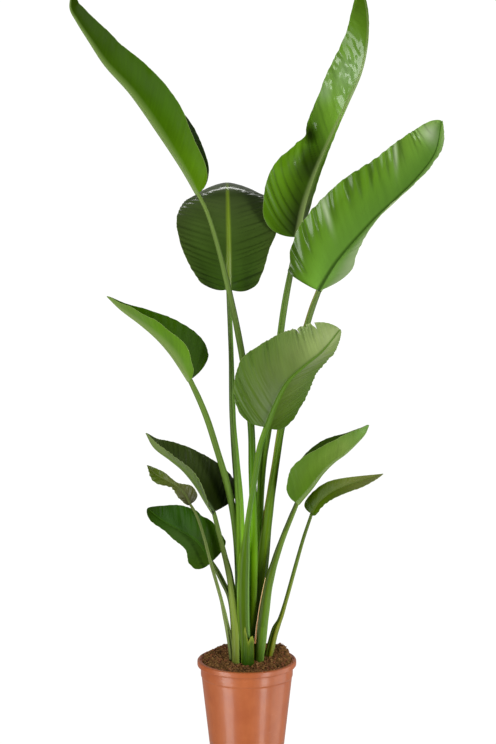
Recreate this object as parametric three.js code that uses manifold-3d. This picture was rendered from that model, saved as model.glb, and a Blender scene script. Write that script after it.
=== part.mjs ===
// Potted bird of paradise plant.
// Millimetres, +Z up. The origin is the centre of the pot's flat foot.
// Eleven paddle leaves stand in one clump. Each leaf is a blade and a stalk, two pieces.
// x runs to the right and -y runs towards the side the plant is shown from.
import * as THREE from 'three';
import Module from 'manifold-3d';

const wasm = await Module();
wasm.setup();

// ---------------------------------------------------------------- driving sizes

const GAP = 0.4;                 // clearance between neighbouring pieces

const POT = {
  footRadius: 90,
  height: 215,
  wall: 3,
  floor: 3,
  taper: 0.114,                  // growth of the outer radius per mm of height
  stepHeight: 176,
  collarRadius: 111.5,
  lipRadius: 120,
  lipDepth: 14,
  segments: 40,
  footHoles: 8,
  footHoleRadius: 8,
};

const SOIL = {
  bottom: POT.floor + GAP,
  rimHeight: 211.5,
  moundHeight: 13,
  tilt: 0.2,                     // the surface climbs towards the back
  heapHeight: 20,                // and is heaped up at the back right
  heapPlace: [93, 30],
  heapReach: 31,
  roughness: 2.2,
};

const STALK_FOOT = 170;          // stalks run down into the soil to this height
const STALK_SIDES = 10;
const STALK_STEP = 75;           // length of stalk between two rings
const CHANNEL_DEPTH = 0.38;      // share of the stalk's radius
const SHEATH_FLATNESS = 0.8;     // depth over width at a stalk's foot

const COLOURS = {
  pot: 0xb8683f,
  soil: 0x4a2e1e,
  blade: 0x3f6d2a,
  stalk: 0x5f8f33,
  sheath: 0x86a548,
  dry: 0x8c6238,
};

// ---------------------------------------------------------------- leaf sizes
// path: points up the stalk, [x, y, z, half width], from the soil to the blade.
// rib: points along the midrib, [x, y, z], from the blade's base to its tip.
// facing: direction the upper face looks, at even steps from base to tip.
// width: half widths in mm at even steps from base to tip.
// fold: rise of each half from flat, in degrees. curl: more bend towards the margin.
// slant: lean of the side veins towards the tip, in degrees.
// wave: [height in mm, waves along the leaf, phase].
// dents: [place, share of the width taken off, reach]; below zero, the margin swells there.
// Left and right are as seen looking at the upper face with the tip up.

const LEAVES = {
  leaf_01: {
    path: [
      [14, -16, 216, 9.7], [16, -16, 314, 9.6], [18, -16, 460, 10.6], [17, -14, 581, 10],
      [14, -11, 677, 9.4], [12, -8, 773, 9], [1, -8, 881, 8.7], [-14, -12, 977, 8.4],
      [-38, -22, 1096, 7.4], [-72, -30, 1230, 6], [-94, -34, 1297, 5.4], [-113, -36, 1334, 5.2],
    ],
    rib: [
      [-113, -36, 1334], [-149, -42, 1394], [-201, -50, 1471], [-267, -58, 1563], [-325, -64, 1627],
      [-359, -70, 1678], [-388, -74, 1724], [-402, -77, 1752], [-398, -80, 1788],
    ],
    facing: [[0.83, -0.1, 0.55], [0.83, -0.1, 0.55], [0.8, -0.1, 0.6]],
    left: {
      width: [56, 66, 78, 95, 94, 86, 78, 69, 60, 62, 80], fold: [38, 46, 50, 50],
      curl: [28, 26, 24, 20], wave: [2, 2.6, 0.1],
    },
    right: { width: [54, 85, 77, 70, 48, 50], fold: [45, 52, 55, 50], curl: [10], wave: [2, 3, 0.4] },
    slant: [-5, 10, 20, 20],
    large: true,
  },
  leaf_02: {
    path: [
      [-15, -14, 216, 9.7], [-14, -14, 363, 9.6], [-15, -13, 496, 10.6], [-17, -8, 592, 10.4],
      [-26, 4, 700, 9.4], [-33, 14, 795, 7.6], [-37, 22, 963, 6.2], [-43, 32, 1110, 5.6],
    ],
    rib: [
      [-43, 32, 1110], [-42, 46, 1204], [-44, 68, 1294], [-46, 104, 1351], [-48, 168, 1374],
      [-49, 280, 1342],
    ],
    facing: [[0, -1, 0.3], [0, -0.9, 0.6], [0, -0.2, 1], [0, 0.3, 1]],
    left: {
      width: [47, 104, 126, 105, 84, 50], fold: [15, 8, 2, -4, -10], curl: [0, 0, -30, -60, -90],
    },
    right: {
      width: [62, 97, 125, 118, 90, 50], fold: [15, 8, 2, -4, -10], curl: [0, 0, -30, -60, -90],
      dents: [[0.25, 0.05, 0.06]],
    },
    slant: [-25, -5, 10, 30],
    large: true,
  },
  leaf_03: {
    path: [
      [26, 20, 206, 9.8], [28, 20, 354, 9.7], [32, 18, 502, 9.2], [33, 14, 601, 9], [40, 12, 698, 9.2],
      [52, 14, 771, 8.8], [70, 20, 903, 8.4], [90, 30, 1059, 8.2], [111, 34, 1170, 7],
      [126, 36, 1234, 5.8],
    ],
    rib: [
      [126, 36, 1234], [139, 34, 1303], [165, 30, 1384], [199, 24, 1464], [239, 18, 1550],
      [272, 12, 1626], [286, 5, 1706], [281, 0, 1775], [266, -5, 1818],
    ],
    facing: [
      [-0.5, -0.85, 0], [-0.55, -0.75, 0.1], [-0.56, -0.8, 0.2], [-0.6, -0.8, 0.2], [-0.6, -0.8, 0.2],
      [-0.6, -0.8, 0.2],
    ],
    left: {
      width: [86, 99, 104, 87, 69, 77, 84, 79, 64, 64, 66],
      fold: [20, 28, 34, 40, 26, 12, 10, 10, 26, 36, 36], curl: [0, 0, 14, 50, 34, 8, 0, 0, 0, 0, 0],
      wave: [3, 3.2, 0.3], dents: [[0.345, 0.15, 0.028]],
    },
    right: { width: [18, 70, 82, 76, 56], fold: [36, 45, 52, 54, 56] },
    slant: [-15, 12, 12, 22],
    large: true,
  },
  leaf_04: {
    path: [
      [28, 2, 211, 12], [32, 2, 359, 14], [41, 0, 469, 14], [50, -4, 555, 12], [60, -8, 629, 10.2],
      [71, -8, 701, 9.2], [82, -8, 773, 9], [107, -10, 893, 8], [137, -14, 1001, 7.6],
      [156, -18, 1065, 7.2], [171, -20, 1105, 6.5],
    ],
    rib: [
      [171, -20, 1105], [214, -24, 1174], [265, -24, 1234], [310, -20, 1282], [355, -10, 1323],
      [409, 5, 1377], [450, 20, 1434], [467, 35, 1510],
    ],
    facing: [[-0.3, -0.9, 0.3]],
    left: {
      width: [86, 124, 122, 108, 103, 110], fold: [20, 15, 15, 20], wave: [3, 3.4, 0],
      dents: [[0.015, -0.5, 0.025]],
    },
    right: { width: [108, 78, 104, 74, 58], fold: [30, 62, 63, 60], slant: [38, 16, 20, 25] },
    slant: [-9, 10, 20, 25],
    large: true,
  },
  leaf_05: {
    path: [
      [-20, 4, 211, 8.3], [-19, 4, 358, 8.9], [-23, 2, 493, 8.8], [-33, -6, 580, 8.5],
      [-49, -16, 654, 8.4], [-70, -28, 728, 7.7], [-92, -36, 800, 7.6], [-112, -40, 851, 7.2],
      [-133, -42, 896, 6.4],
    ],
    rib: [
      [-133, -42, 896], [-177, -50, 960], [-209, -55, 996], [-246, -60, 1028], [-295, -64, 1065],
      [-325, -66, 1094],
    ],
    facing: [[0.67, -0.31, 0.67]],
    left: { width: [22, 82, 68, 48, 34], fold: [40], curl: [16], wave: [2, 4.2, 0] },
    right: { width: [64, 84, 68, 44, 27, 20], fold: [48] },
    slant: [-5, 5, 10],
  },
  leaf_06: {
    path: [
      [-2, -38, 223, 13], [-8, -41, 345, 15.8], [-6, -42, 454, 14.4], [1, -46, 539, 7.6],
      [11, -52, 612, 6.6], [21, -58, 672, 6.8], [31, -68, 736, 7.2], [47, -80, 788, 7.2],
    ],
    rib: [
      [47, -80, 788], [70, -105, 850], [96, -135, 900], [131, -170, 937], [169, -215, 973],
      [206, -255, 1023],
    ],
    facing: [[0.3, 0.8, 0.65]],
    left: { width: [68, 99, 80, 53, 40], fold: [50] },
    right: { width: [58, 112, 100, 84, 96], fold: [10], dents: [[0.36, -0.05, 0.06]] },
    slant: [-25, 5, 20],
    large: true,
  },
  leaf_07: {
    path: [
      [-25, -40, 221, 10.4], [-25, -39, 282, 10.4], [-32, -33, 366, 10.1], [-41, -26, 426, 8.4],
      [-53, -16, 473, 6.7], [-65, -12, 520, 6], [-74, -12, 557, 5.8], [-79, -12, 576, 5.4],
    ],
    rib: [
      [-79, -12, 576], [-98, -15, 605], [-119, -19, 640], [-150, -24, 679], [-179, -30, 704],
      [-219, -36, 736], [-238, -38, 770],
    ],
    facing: [[0.67, -0.2, 0.7]],
    left: { width: [38, 46, 42, 40, 34], fold: [5, 28, 38, 40, 40], wave: [2, 2.4, 0.3] },
    right: { width: [110, 97, 61, 41, 22], fold: [40], wave: [2, 2.5, 0] },
    slant: [-15, 10, 20],
  },
  leaf_08: {
    path: [
      [-36, -22, 224, 6.6], [-42, -25, 273, 6.6], [-51, -32, 322, 5.8], [-61, -42, 371, 4.3],
      [-74, -51, 421, 4.1], [-87, -60, 470, 3.8], [-102, -64, 530, 3.5], [-120, -68, 583, 3.3],
      [-133, -70, 605, 3.2],
    ],
    rib: [
      [-133, -70, 605], [-146, -74, 630], [-167, -80, 652], [-190, -84, 665], [-213, -88, 679],
      [-232, -90, 700],
    ],
    facing: [[0.3, -0.8, 0.5]],
    left: { width: [14, 20, 20, 22, 22, 14], fold: [20], wave: [4, 2.2, 0.2] },
    right: { width: [24, 26, 8, 15, 16, 12], fold: [20], wave: [4, 2.2, 0.6] },
    slant: [-10, 15, 30],
  },
  leaf_09: {
    path: [
      [-33, -8, 216, 6.2], [-34, -8, 314, 6.2], [-42, -8, 371, 6.4], [-58, -4, 405, 6.4],
      [-70, -2, 428, 6], [-85, 0, 452, 5.4],
    ],
    rib: [
      [-85, 0, 452], [-102, -2, 480], [-123, -8, 507], [-161, -20, 534], [-201, -32, 560],
      [-236, -40, 590],
    ],
    facing: [[0.3, -0.7, 0.6]],
    left: { width: [79, 86, 53, 42, 62], fold: [25], wave: [2, 3, 0.1], slant: [3, 14, 20] },
    right: { width: [54, 60, 61, 46, 30], fold: [25], dents: [[0.38, 0.07, 0.04]] },
    slant: [5, 5, 20],
  },
  leaf_10: {
    path: [
      [30, -28, 220, 11.3], [34, -29, 274, 14], [41, -29, 337, 13.4], [52, -28, 407, 11.4],
      [69, -26, 467, 8.8], [86, -25, 516, 7.4], [103, -25, 559, 6.7], [120, -25, 600, 5.8],
    ],
    rib: [
      [120, -25, 600], [152, -25, 636], [180, -27, 673], [207, -30, 700], [234, -33, 720],
      [260, -37, 745], [280, -40, 768], [289, -42, 789],
    ],
    facing: [[-0.7, 0, 0.7]],
    left: { width: [44, 70, 67, 44, 34], fold: [50] },
    right: { width: [48, 92, 69, 55, 40], fold: [50] },
    slant: [-10, 10, 20],
  },
  leaf_11: {
    path: [
      [52, -6, 213, 9], [58, -6, 245, 10], [69, -5, 287, 9], [81, -4, 314, 5.8], [95, -4, 360, 5],
      [115, -6, 434, 4.8], [136, -9, 510, 4.3], [156, -10, 571, 3.9],
    ],
    rib: [
      [156, -10, 571], [172, -14, 598], [200, -22, 624], [235, -32, 642], [272, -42, 656],
      [323, -52, 674],
    ],
    facing: [[-0.3, -0.6, 0.7]],
    left: { width: [30, 28, 15, 6], fold: [25] },
    right: { width: [24, 42, 42, 30], fold: [25] },
    slant: [-10, 10, 20],
  },
};

// Stalks that stand in front keep their form. Those behind are trimmed round them.
const STALK_ORDER = [
  'leaf_06', 'leaf_10', 'leaf_07', 'leaf_08', 'leaf_11', 'leaf_01',
  'leaf_02', 'leaf_04', 'leaf_09', 'leaf_05', 'leaf_03',
];

// Rows along a blade, closer together where the outline turns.
const ROWS_LARGE = [0.0005, 0.013, 0.035, 0.07, 0.12, 0.19, 0.27, 0.35, 0.43, 0.51, 0.59, 0.67,
  0.75, 0.82, 0.88, 0.93, 0.97, 0.993];
const ROWS_SMALL = [0.001, 0.02, 0.06, 0.12, 0.21, 0.31, 0.42, 0.54, 0.66, 0.77, 0.87, 0.95, 0.99];
const COLUMNS_LARGE = [0.3, 0.55, 0.8, 1];
const COLUMNS_SMALL = [0.35, 0.68, 1];

const BLADE_THICKNESS = 1.2;
const MARGIN_THICKNESS = 0.8;
const GROOVE_DEPTH = 0.3;        // share of the midrib's half width, on the upper face
const KEEL_DEPTH = 1.1;          // share of the midrib's half width, on the under face
const TIP_RIB = 0.8;             // half width of the midrib at the tip

// ---------------------------------------------------------------- small helpers

const vec = (p) => new THREE.Vector3(p[0], p[1], p[2]);
const radians = (degrees) => degrees * Math.PI / 180;
const lerp = (a, b, t) => a + (b - a) * t;
const clamp = (x, low, high) => Math.min(Math.max(x, low), high);

// Smooth value through a list spread evenly over u from 0 to 1.
function along(values, u) {
  if (values.length === 1) return values[0];
  const last = values.length - 1;
  const x = clamp(u, 0, 1) * last;
  const i = Math.min(Math.floor(x), last - 1);
  const t = x - i;
  const b = values[i];
  const c = values[i + 1];
  const a = i > 0 ? values[i - 1] : 2 * b - c;
  const d = i + 2 <= last ? values[i + 2] : 2 * c - b;
  return b + 0.5 * t * (c - a + t * (2 * a - 5 * b + 4 * c - d + t * (3 * (b - c) + d - a)));
}

// Curve through points with even steps by length.
function curveThrough(points) {
  const curve = new THREE.CatmullRomCurve3(points.map(vec), false, 'centripetal');
  curve.arcLengthDivisions = 400;
  return curve;
}

// Closed solid from a list of corner triples, merged by position.
function toManifold(triangles) {
  const index = new Map();
  const positions = [];
  const corners = [];
  for (const p of triangles) {
    const key = p.map((c) => Math.round(c * 1000)).join(',');
    if (!index.has(key)) {
      index.set(key, positions.length / 3);
      positions.push(...p);
    }
    corners.push(index.get(key));
  }
  const kept = [];
  for (let i = 0; i < corners.length; i += 3) {
    const [a, b, c] = corners.slice(i, i + 3);
    if (a !== b && b !== c && a !== c) kept.push(a, b, c);
  }
  return new wasm.Manifold(new wasm.Mesh({
    numProp: 3,
    vertProperties: new Float32Array(positions),
    triVerts: new Uint32Array(kept),
  }));
}

function largestPiece(solid) {
  const pieces = solid.decompose();
  return pieces.reduce((best, piece) => (piece.volume() > best.volume() ? piece : best));
}

function meshFrom(name, solid, colour) {
  const data = solid.getMesh();
  const positions = [];
  for (const i of data.triVerts) {
    positions.push(...data.vertProperties.slice(i * data.numProp, i * data.numProp + 3));
  }
  const geometry = new THREE.BufferGeometry();
  geometry.setAttribute('position', new THREE.Float32BufferAttribute(positions, 3));
  geometry.computeVertexNormals();
  const material = new THREE.MeshStandardMaterial({ color: colour, roughness: 0.6 });
  const mesh = new THREE.Mesh(geometry, material);
  mesh.name = name;
  return mesh;
}

// Solid between two equal grids of points: upper[row][column] and lower[row][column].
// Both faces are split along the same diagonals.
function solidBetween(upper, lower) {
  const out = [];
  const tri = (a, b, c) => out.push(a, b, c);
  const rows = upper.length;
  const columns = upper[0].length;
  for (let r = 0; r < rows - 1; r += 1) {
    for (let c = 0; c < columns - 1; c += 1) {
      const flip = c < (columns - 1) / 2;
      const quad = (g) => [g[r][c], g[r][c + 1], g[r + 1][c + 1], g[r + 1][c]];
      const [a, b, d, e] = quad(upper);
      const [f, g, h, i] = quad(lower);
      if (flip) {
        tri(a, b, d); tri(a, d, e);
        tri(f, h, g); tri(f, i, h);
      } else {
        tri(a, b, e); tri(b, d, e);
        tri(f, i, g); tri(g, i, h);
      }
    }
  }
  const wall = (p, q, s, t) => { tri(p, s, q); tri(q, s, t); };
  for (let r = 0; r < rows - 1; r += 1) {
    wall(upper[r + 1][0], upper[r][0], lower[r + 1][0], lower[r][0]);
    const c = columns - 1;
    wall(upper[r][c], upper[r + 1][c], lower[r][c], lower[r + 1][c]);
  }
  for (let c = 0; c < columns - 1; c += 1) {
    wall(upper[0][c], upper[0][c + 1], lower[0][c], lower[0][c + 1]);
    const r = rows - 1;
    wall(upper[r][c + 1], upper[r][c], lower[r][c + 1], lower[r][c]);
  }
  return toManifold(out);
}

// Closed solid of revolution about Z from a closed profile of [radius, height] corners.
function revolve(profile, segments) {
  const out = [];
  const at = (p, k) => {
    const angle = 2 * Math.PI * (k % segments) / segments;
    return [p[0] * Math.cos(angle), p[0] * Math.sin(angle), p[1]];
  };
  for (let i = 0; i < profile.length; i += 1) {
    const p = profile[i];
    const q = profile[(i + 1) % profile.length];
    if (p[0] === 0 && q[0] === 0) continue;
    for (let k = 0; k < segments; k += 1) {
      out.push(at(p, k), at(p, k + 1), at(q, k + 1));
      out.push(at(p, k), at(q, k + 1), at(q, k));
    }
  }
  return toManifold(out);
}

// ---------------------------------------------------------------- pot

function outerRadius(z) {
  return POT.footRadius + POT.taper * z;
}

function innerRadius(z) {
  return (z > POT.stepHeight ? POT.collarRadius : outerRadius(z)) - POT.wall;
}

function buildPot() {
  const lipBottom = POT.height - POT.lipDepth;
  const step = POT.stepHeight;
  const lip = POT.lipRadius;
  const profile = [
    [0, 0],
    [POT.footRadius - 2, 0],
    [POT.footRadius, 2.5],
    [outerRadius(step) - 0.3, step - 1],
    [POT.collarRadius, step + 0.5],
    [POT.collarRadius + 0.6, lipBottom - 1.5],
    [POT.collarRadius + 1.2, lipBottom],
    [lip - 2, lipBottom],
    [lip, lipBottom + 2.5],
    [lip, POT.height - 4],
    [lip - 1.5, POT.height - 0.8],
    [lip - 4, POT.height],
    [POT.collarRadius, POT.height - 0.6],
    [POT.collarRadius - POT.wall, POT.height - 3],
    [POT.collarRadius - POT.wall, step + 3],
    [outerRadius(step) - POT.wall, step - 2],
    [outerRadius(POT.floor) - POT.wall, POT.floor],
    [0, POT.floor],
  ];
  let solid = revolve(profile, POT.segments);
  for (let k = 0; k < POT.footHoles; k += 1) {
    const angle = 2 * Math.PI * (k + 0.5) / POT.footHoles;
    const hole = new THREE.CylinderGeometry(POT.footHoleRadius, POT.footHoleRadius, 26, 12)
      .rotateX(Math.PI / 2)
      .translate((POT.footRadius - 4) * Math.cos(angle), (POT.footRadius - 4) * Math.sin(angle), 0)
      .toNonIndexed();
    solid = solid.subtract(toManifold(cornersOf(hole)));
  }
  return solid;
}

function cornersOf(geometry) {
  const p = geometry.attributes.position;
  const out = [];
  for (let i = 0; i < p.count; i += 1) out.push([p.getX(i), p.getY(i), p.getZ(i)]);
  return out;
}

// ---------------------------------------------------------------- soil

function soilHeight(x, y) {
  const reach = Math.min(Math.hypot(x, y) / (POT.collarRadius - POT.wall), 1);
  const mound = 1 - reach ** 5;
  const away = Math.hypot(x - SOIL.heapPlace[0], y - SOIL.heapPlace[1]);
  const heap = SOIL.heapHeight * Math.exp(-((away / SOIL.heapReach) ** 2)) * (1 - reach ** 24);
  const bumps = Math.sin(x * 0.21 + y * 0.13) + Math.sin(x * 0.11 - y * 0.27 + 2)
    + Math.sin(x * 0.33 + y * 0.05 + 4);
  const rise = SOIL.moundHeight + SOIL.tilt * y + SOIL.roughness * bumps / 3;
  return SOIL.rimHeight + mound * rise + heap;
}

function buildSoil() {
  const segments = POT.segments;
  const topRadius = innerRadius(POT.height - 6) - GAP;
  const rings = [22, 45, 68, 88, topRadius];
  const side = [
    [topRadius, POT.stepHeight + 4],
    [outerRadius(POT.stepHeight) - POT.wall - GAP, POT.stepHeight - 3],
    [outerRadius(SOIL.bottom) - POT.wall - GAP, SOIL.bottom],
  ];
  const layers = rings.map((r) => ringPoints(r, segments, (x, y) => soilHeight(x, y)));
  for (const [r, z] of side) layers.push(ringPoints(r, segments, () => z));
  const out = [];
  const centre = [0, 0, soilHeight(0, 0)];
  const bottom = [0, 0, SOIL.bottom];
  const last = layers[layers.length - 1];
  for (let k = 0; k < segments; k += 1) {
    const n = (k + 1) % segments;
    out.push(centre, layers[0][k], layers[0][n]);
    out.push(bottom, last[n], last[k]);
    for (let i = 0; i < layers.length - 1; i += 1) {
      out.push(layers[i][k], layers[i + 1][k], layers[i + 1][n]);
      out.push(layers[i][k], layers[i + 1][n], layers[i][n]);
    }
  }
  return toManifold(out);
}

function ringPoints(radius, segments, height) {
  const out = [];
  for (let k = 0; k < segments; k += 1) {
    const x = radius * Math.cos(2 * Math.PI * k / segments);
    const y = radius * Math.sin(2 * Math.PI * k / segments);
    out.push([x, y, height(x, y)]);
  }
  return out;
}

// ---------------------------------------------------------------- stalks

// A stalk is flattened front to back at its sheathing foot and round at the blade.
// A channel runs up the side the blade's upper face looks to.
function buildStalk(leaf, grow) {
  const foot = [...leaf.path[0]];
  foot[2] = STALK_FOOT;
  const points = [foot, ...leaf.path];
  const curve = curveThrough(points);
  const length = curve.getLength();
  const rings = clamp(Math.round(length / STALK_STEP), 6, 14);
  const stops = points.map((p) => stopOf(curve, p));
  const facing = vec(leaf.facing[0]);
  const layers = [];
  for (let i = 0; i <= rings; i += 1) {
    const u = i / rings;
    const centre = curve.getPointAt(u);
    const forward = curve.getTangentAt(u);
    if (i === 0) centre.z -= grow;
    if (i === rings) centre.addScaledVector(forward, grow);
    const across = new THREE.Vector3(1, 0, 0).addScaledVector(forward, -forward.x).normalize();
    const behind = new THREE.Vector3().crossVectors(forward, across);
    const half = valueAt(stops, points.map((p) => p[3]), u) + grow;
    const depth = half * lerp(SHEATH_FLATNESS, 1, clamp(u * 1.6, 0, 1));
    const channel = Math.atan2(facing.dot(behind), facing.dot(across));
    layers.push(sectionRing(centre, across, behind, half, depth, channel, grow));
  }
  return tube(layers);
}

function sectionRing(centre, across, behind, half, depth, channel, grow) {
  const out = [];
  for (let k = 0; k < STALK_SIDES; k += 1) {
    const angle = channel + 2 * Math.PI * k / STALK_SIDES;
    const dip = k === 0 && grow === 0 ? 1 - CHANNEL_DEPTH : 1;
    const p = centre.clone()
      .addScaledVector(across, half * dip * Math.cos(angle))
      .addScaledVector(behind, depth * dip * Math.sin(angle));
    out.push([p.x, p.y, p.z]);
  }
  return out;
}

function tube(layers) {
  const out = [];
  const sides = layers[0].length;
  const middle = (ring) => [0, 1, 2].map((c) => ring.reduce((sum, p) => sum + p[c], 0) / sides);
  const first = layers[0];
  const last = layers[layers.length - 1];
  const low = middle(first);
  const high = middle(last);
  for (let k = 0; k < sides; k += 1) {
    const n = (k + 1) % sides;
    out.push(low, first[n], first[k]);
    out.push(high, last[k], last[n]);
    for (let i = 0; i < layers.length - 1; i += 1) {
      out.push(layers[i][k], layers[i][n], layers[i + 1][n]);
      out.push(layers[i][k], layers[i + 1][n], layers[i + 1][k]);
    }
  }
  return toManifold(out);
}

// Place of a point along a curve, as a share of its length.
function stopOf(curve, point) {
  const target = vec(point);
  let best = 0;
  let nearest = Infinity;
  for (let i = 0; i <= 400; i += 1) {
    const d = curve.getPointAt(i / 400).distanceTo(target);
    if (d < nearest) {
      nearest = d;
      best = i / 400;
    }
  }
  return best;
}

function valueAt(stops, values, u) {
  for (let i = 1; i < stops.length; i += 1) {
    if (u <= stops[i]) {
      const t = clamp((u - stops[i - 1]) / Math.max(stops[i] - stops[i - 1], 1e-6), 0, 1);
      const smooth = t * t * (3 - 2 * t);
      return lerp(values[i - 1], values[i], smooth);
    }
  }
  return values[values.length - 1];
}

// ---------------------------------------------------------------- blades

// Rounded start and drawn-out tip of every blade.
function bladeShape(u) {
  const start = Math.min(u / 0.1, 1);
  const tip = Math.max((u - 0.62) / 0.38, 0);
  return Math.sqrt(1 - (1 - start) ** 2) * Math.max(1 - tip * tip, 0) ** 0.75;
}

function halfWidth(half, u) {
  let width = along(half.width, u) * bladeShape(u);
  for (const [place, depth, reach] of half.dents ?? []) {
    width *= 1 - depth * Math.exp(-(((u - place) / reach) ** 2));
  }
  return width;
}

// Points across one half of a blade at u, from the midrib outwards.
function halfRow(leaf, half, side, u, frame, ribHalf, columns) {
  const { middle, forward, normal, across } = frame;
  const width = Math.max(halfWidth(half, u), ribHalf * 1.25);
  const slant = radians(along(half.slant ?? leaf.slant, u));
  const fold = along(half.fold, u);
  const curl = along(half.curl ?? [0], u);
  const steps = 24;
  const reach = [ribHalf, ...columns.map((c) => lerp(ribHalf, width, c))];
  const direction = (share) => {
    const angle = radians(fold + curl * share);
    return new THREE.Vector3()
      .addScaledVector(across, Math.cos(slant) * Math.cos(angle) * side)
      .addScaledVector(normal, Math.cos(slant) * Math.sin(angle))
      .addScaledVector(forward, Math.sin(slant));
  };
  const path = [middle.clone()];
  for (let i = 0; i < steps; i += 1) {
    path.push(path[i].clone().addScaledVector(direction((i + 0.5) / steps), width / steps));
  }
  const edgeAngle = radians(fold + curl);
  const lift = new THREE.Vector3()
    .addScaledVector(across, -Math.sin(edgeAngle) * side)
    .addScaledVector(normal, Math.cos(edgeAngle));
  const [height, waves, phase] = half.wave ?? [0, 0, 0];
  return reach.map((distance) => {
    const x = clamp(distance / width, 0, 1) * steps;
    const i = Math.min(Math.floor(x), steps - 1);
    const point = path[i].clone().lerp(path[i + 1], x - i);
    const share = distance / width;
    const swell = height * share * share * bladeShape(u) * Math.sin(2 * Math.PI * (waves * u + phase));
    return point.addScaledVector(lift, swell);
  });
}

function bladeGrid(leaf) {
  const curve = curveThrough(leaf.rib);
  const rows = leaf.large ? ROWS_LARGE : ROWS_SMALL;
  const columns = leaf.large ? COLUMNS_LARGE : COLUMNS_SMALL;
  const ribStart = leaf.path[leaf.path.length - 1][3];
  const grid = [];
  const ribs = [];
  for (const u of rows) {
    const middle = curve.getPointAt(u);
    const forward = curve.getTangentAt(u);
    const look = new THREE.Vector3(...[0, 1, 2].map((c) => along(leaf.facing.map((f) => f[c]), u)));
    const normal = look.addScaledVector(forward, -look.dot(forward)).normalize();
    const across = new THREE.Vector3().crossVectors(forward, normal);
    const ribHalf = lerp(ribStart * 0.9, TIP_RIB, u ** 0.7);
    const frame = { middle, forward, normal, across };
    const left = halfRow(leaf, leaf.left, -1, u, frame, ribHalf, columns).reverse();
    const right = halfRow(leaf, leaf.right, 1, u, frame, ribHalf, columns);
    grid.push([...left, middle, ...right]);
    ribs.push(ribHalf);
  }
  return { grid, ribs };
}

// Normals of the upper face at every grid point, by central differences.
function gridNormals(grid) {
  const rows = grid.length;
  const columns = grid[0].length;
  return grid.map((row, r) => row.map((point, c) => {
    const up = grid[Math.min(r + 1, rows - 1)][c].clone().sub(grid[Math.max(r - 1, 0)][c]);
    const right = row[Math.min(c + 1, columns - 1)].clone().sub(row[Math.max(c - 1, 0)]);
    return right.cross(up).normalize();
  }));
}

function buildBlade(leaf) {
  const { grid, ribs } = bladeGrid(leaf);
  const normals = gridNormals(grid);
  const middle = (grid[0].length - 1) / 2;
  const upper = [];
  const lower = [];
  grid.forEach((row, r) => {
    upper.push([]);
    lower.push([]);
    row.forEach((point, c) => {
      const out = Math.abs(c - middle);
      const top = point.clone();
      let thickness = lerp(BLADE_THICKNESS, MARGIN_THICKNESS, out / middle);
      if (out === 0) {
        top.addScaledVector(normals[r][c], -GROOVE_DEPTH * ribs[r]);
        thickness = BLADE_THICKNESS + KEEL_DEPTH * ribs[r];
      }
      const under = top.clone().addScaledVector(normals[r][c], -thickness);
      upper[r].push([top.x, top.y, top.z]);
      lower[r].push([under.x, under.y, under.z]);
    });
  });
  return solidBetween(upper, lower);
}

// ---------------------------------------------------------------- old sheaths at the foot

// A cut-back sheath: a curved shell round the front stalk with a pointed left lobe.
function buildOldSheath() {
  const centre = [3, -40];
  const radius = [15.5, 17];
  const thickness = 2.4;
  const stops = [-78, -62, -46, -30, -15, 0, 15, 30, 46, 62, 78];
  const tops = [262, 276, 292, 307, 290, 272, 276, 283, 284, 280, 270];
  const levels = [0, 0.35, 0.6, 0.8, 1];
  const shell = (inset) => levels.map((level) => stops.map((stop, i) => {
    const angle = radians(stop);
    const z = lerp(STALK_FOOT + 15, tops[i], level);
    const flare = 1 - 0.06 * level;
    return [
      centre[0] + (radius[0] - inset) * flare * Math.sin(angle),
      centre[1] - (radius[1] - inset) * flare * Math.cos(angle),
      z,
    ];
  }));
  return solidBetween(shell(0), shell(thickness));
}

// A dried sheath margin: a thin strip leaning up the left of the right-hand front stalk.
function buildDrySheath() {
  const path = [[20.5, -44, 264], [23.5, -46, 300], [29, -46.5, 342], [36, -46, 381], [45, -44, 424]];
  const widths = [5, 4.5, 4, 3.5, 1.5];
  const curve = curveThrough(path);
  const side = new THREE.Vector3(0.8, 0.6, 0).normalize();
  const normal = new THREE.Vector3(0.6, -0.8, 0);
  const upper = [];
  const lower = [];
  for (let i = 0; i <= 8; i += 1) {
    const u = i / 8;
    const half = along(widths, u) / 2;
    const rowUp = [];
    const rowDown = [];
    for (const share of [-1, 0, 1]) {
      const p = curve.getPointAt(u).addScaledVector(side, half * share);
      const q = p.clone().addScaledVector(normal, -1);
      rowUp.push([p.x, p.y, p.z]);
      rowDown.push([q.x, q.y, q.z]);
    }
    upper.push(rowUp);
    lower.push(rowDown);
  }
  return solidBetween(upper, lower);
}

// ---------------------------------------------------------------- assembly

const group = new THREE.Group();
group.name = 'potted_bird_of_paradise';

const oldSheath = buildOldSheath();
const drySheath = buildDrySheath();
let taken = oldSheath;
let soil = buildSoil().subtract(oldSheath);
const stalks = {};
for (const name of STALK_ORDER) {
  const grown = buildStalk(LEAVES[name], GAP);
  stalks[name] = largestPiece(buildStalk(LEAVES[name], 0).subtract(taken));
  taken = taken.add(grown);
  soil = soil.subtract(grown);
}

group.add(meshFrom('pot', buildPot(), COLOURS.pot));
group.add(meshFrom('soil', largestPiece(soil), COLOURS.soil));
for (const name of Object.keys(LEAVES)) {
  const blade = largestPiece(buildBlade(LEAVES[name]).subtract(buildStalk(LEAVES[name], GAP)));
  group.add(meshFrom(`${name}_blade`, blade, COLOURS.blade));
  group.add(meshFrom(`${name}_stalk`, stalks[name], COLOURS.stalk));
}
group.add(meshFrom('old_sheath', oldSheath, COLOURS.sheath));
group.add(meshFrom('dry_sheath', drySheath, COLOURS.dry));

export default group;
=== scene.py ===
"""Potted bird of paradise: the finished look of the plant, its soil and its pot.

Sizes in the tables are millimetres, as on the plant. Everything built is in metres, +Z up,
with the origin at the centre of the pot's foot. -Y is the side the plant is shown from.
"""
import math

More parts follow.
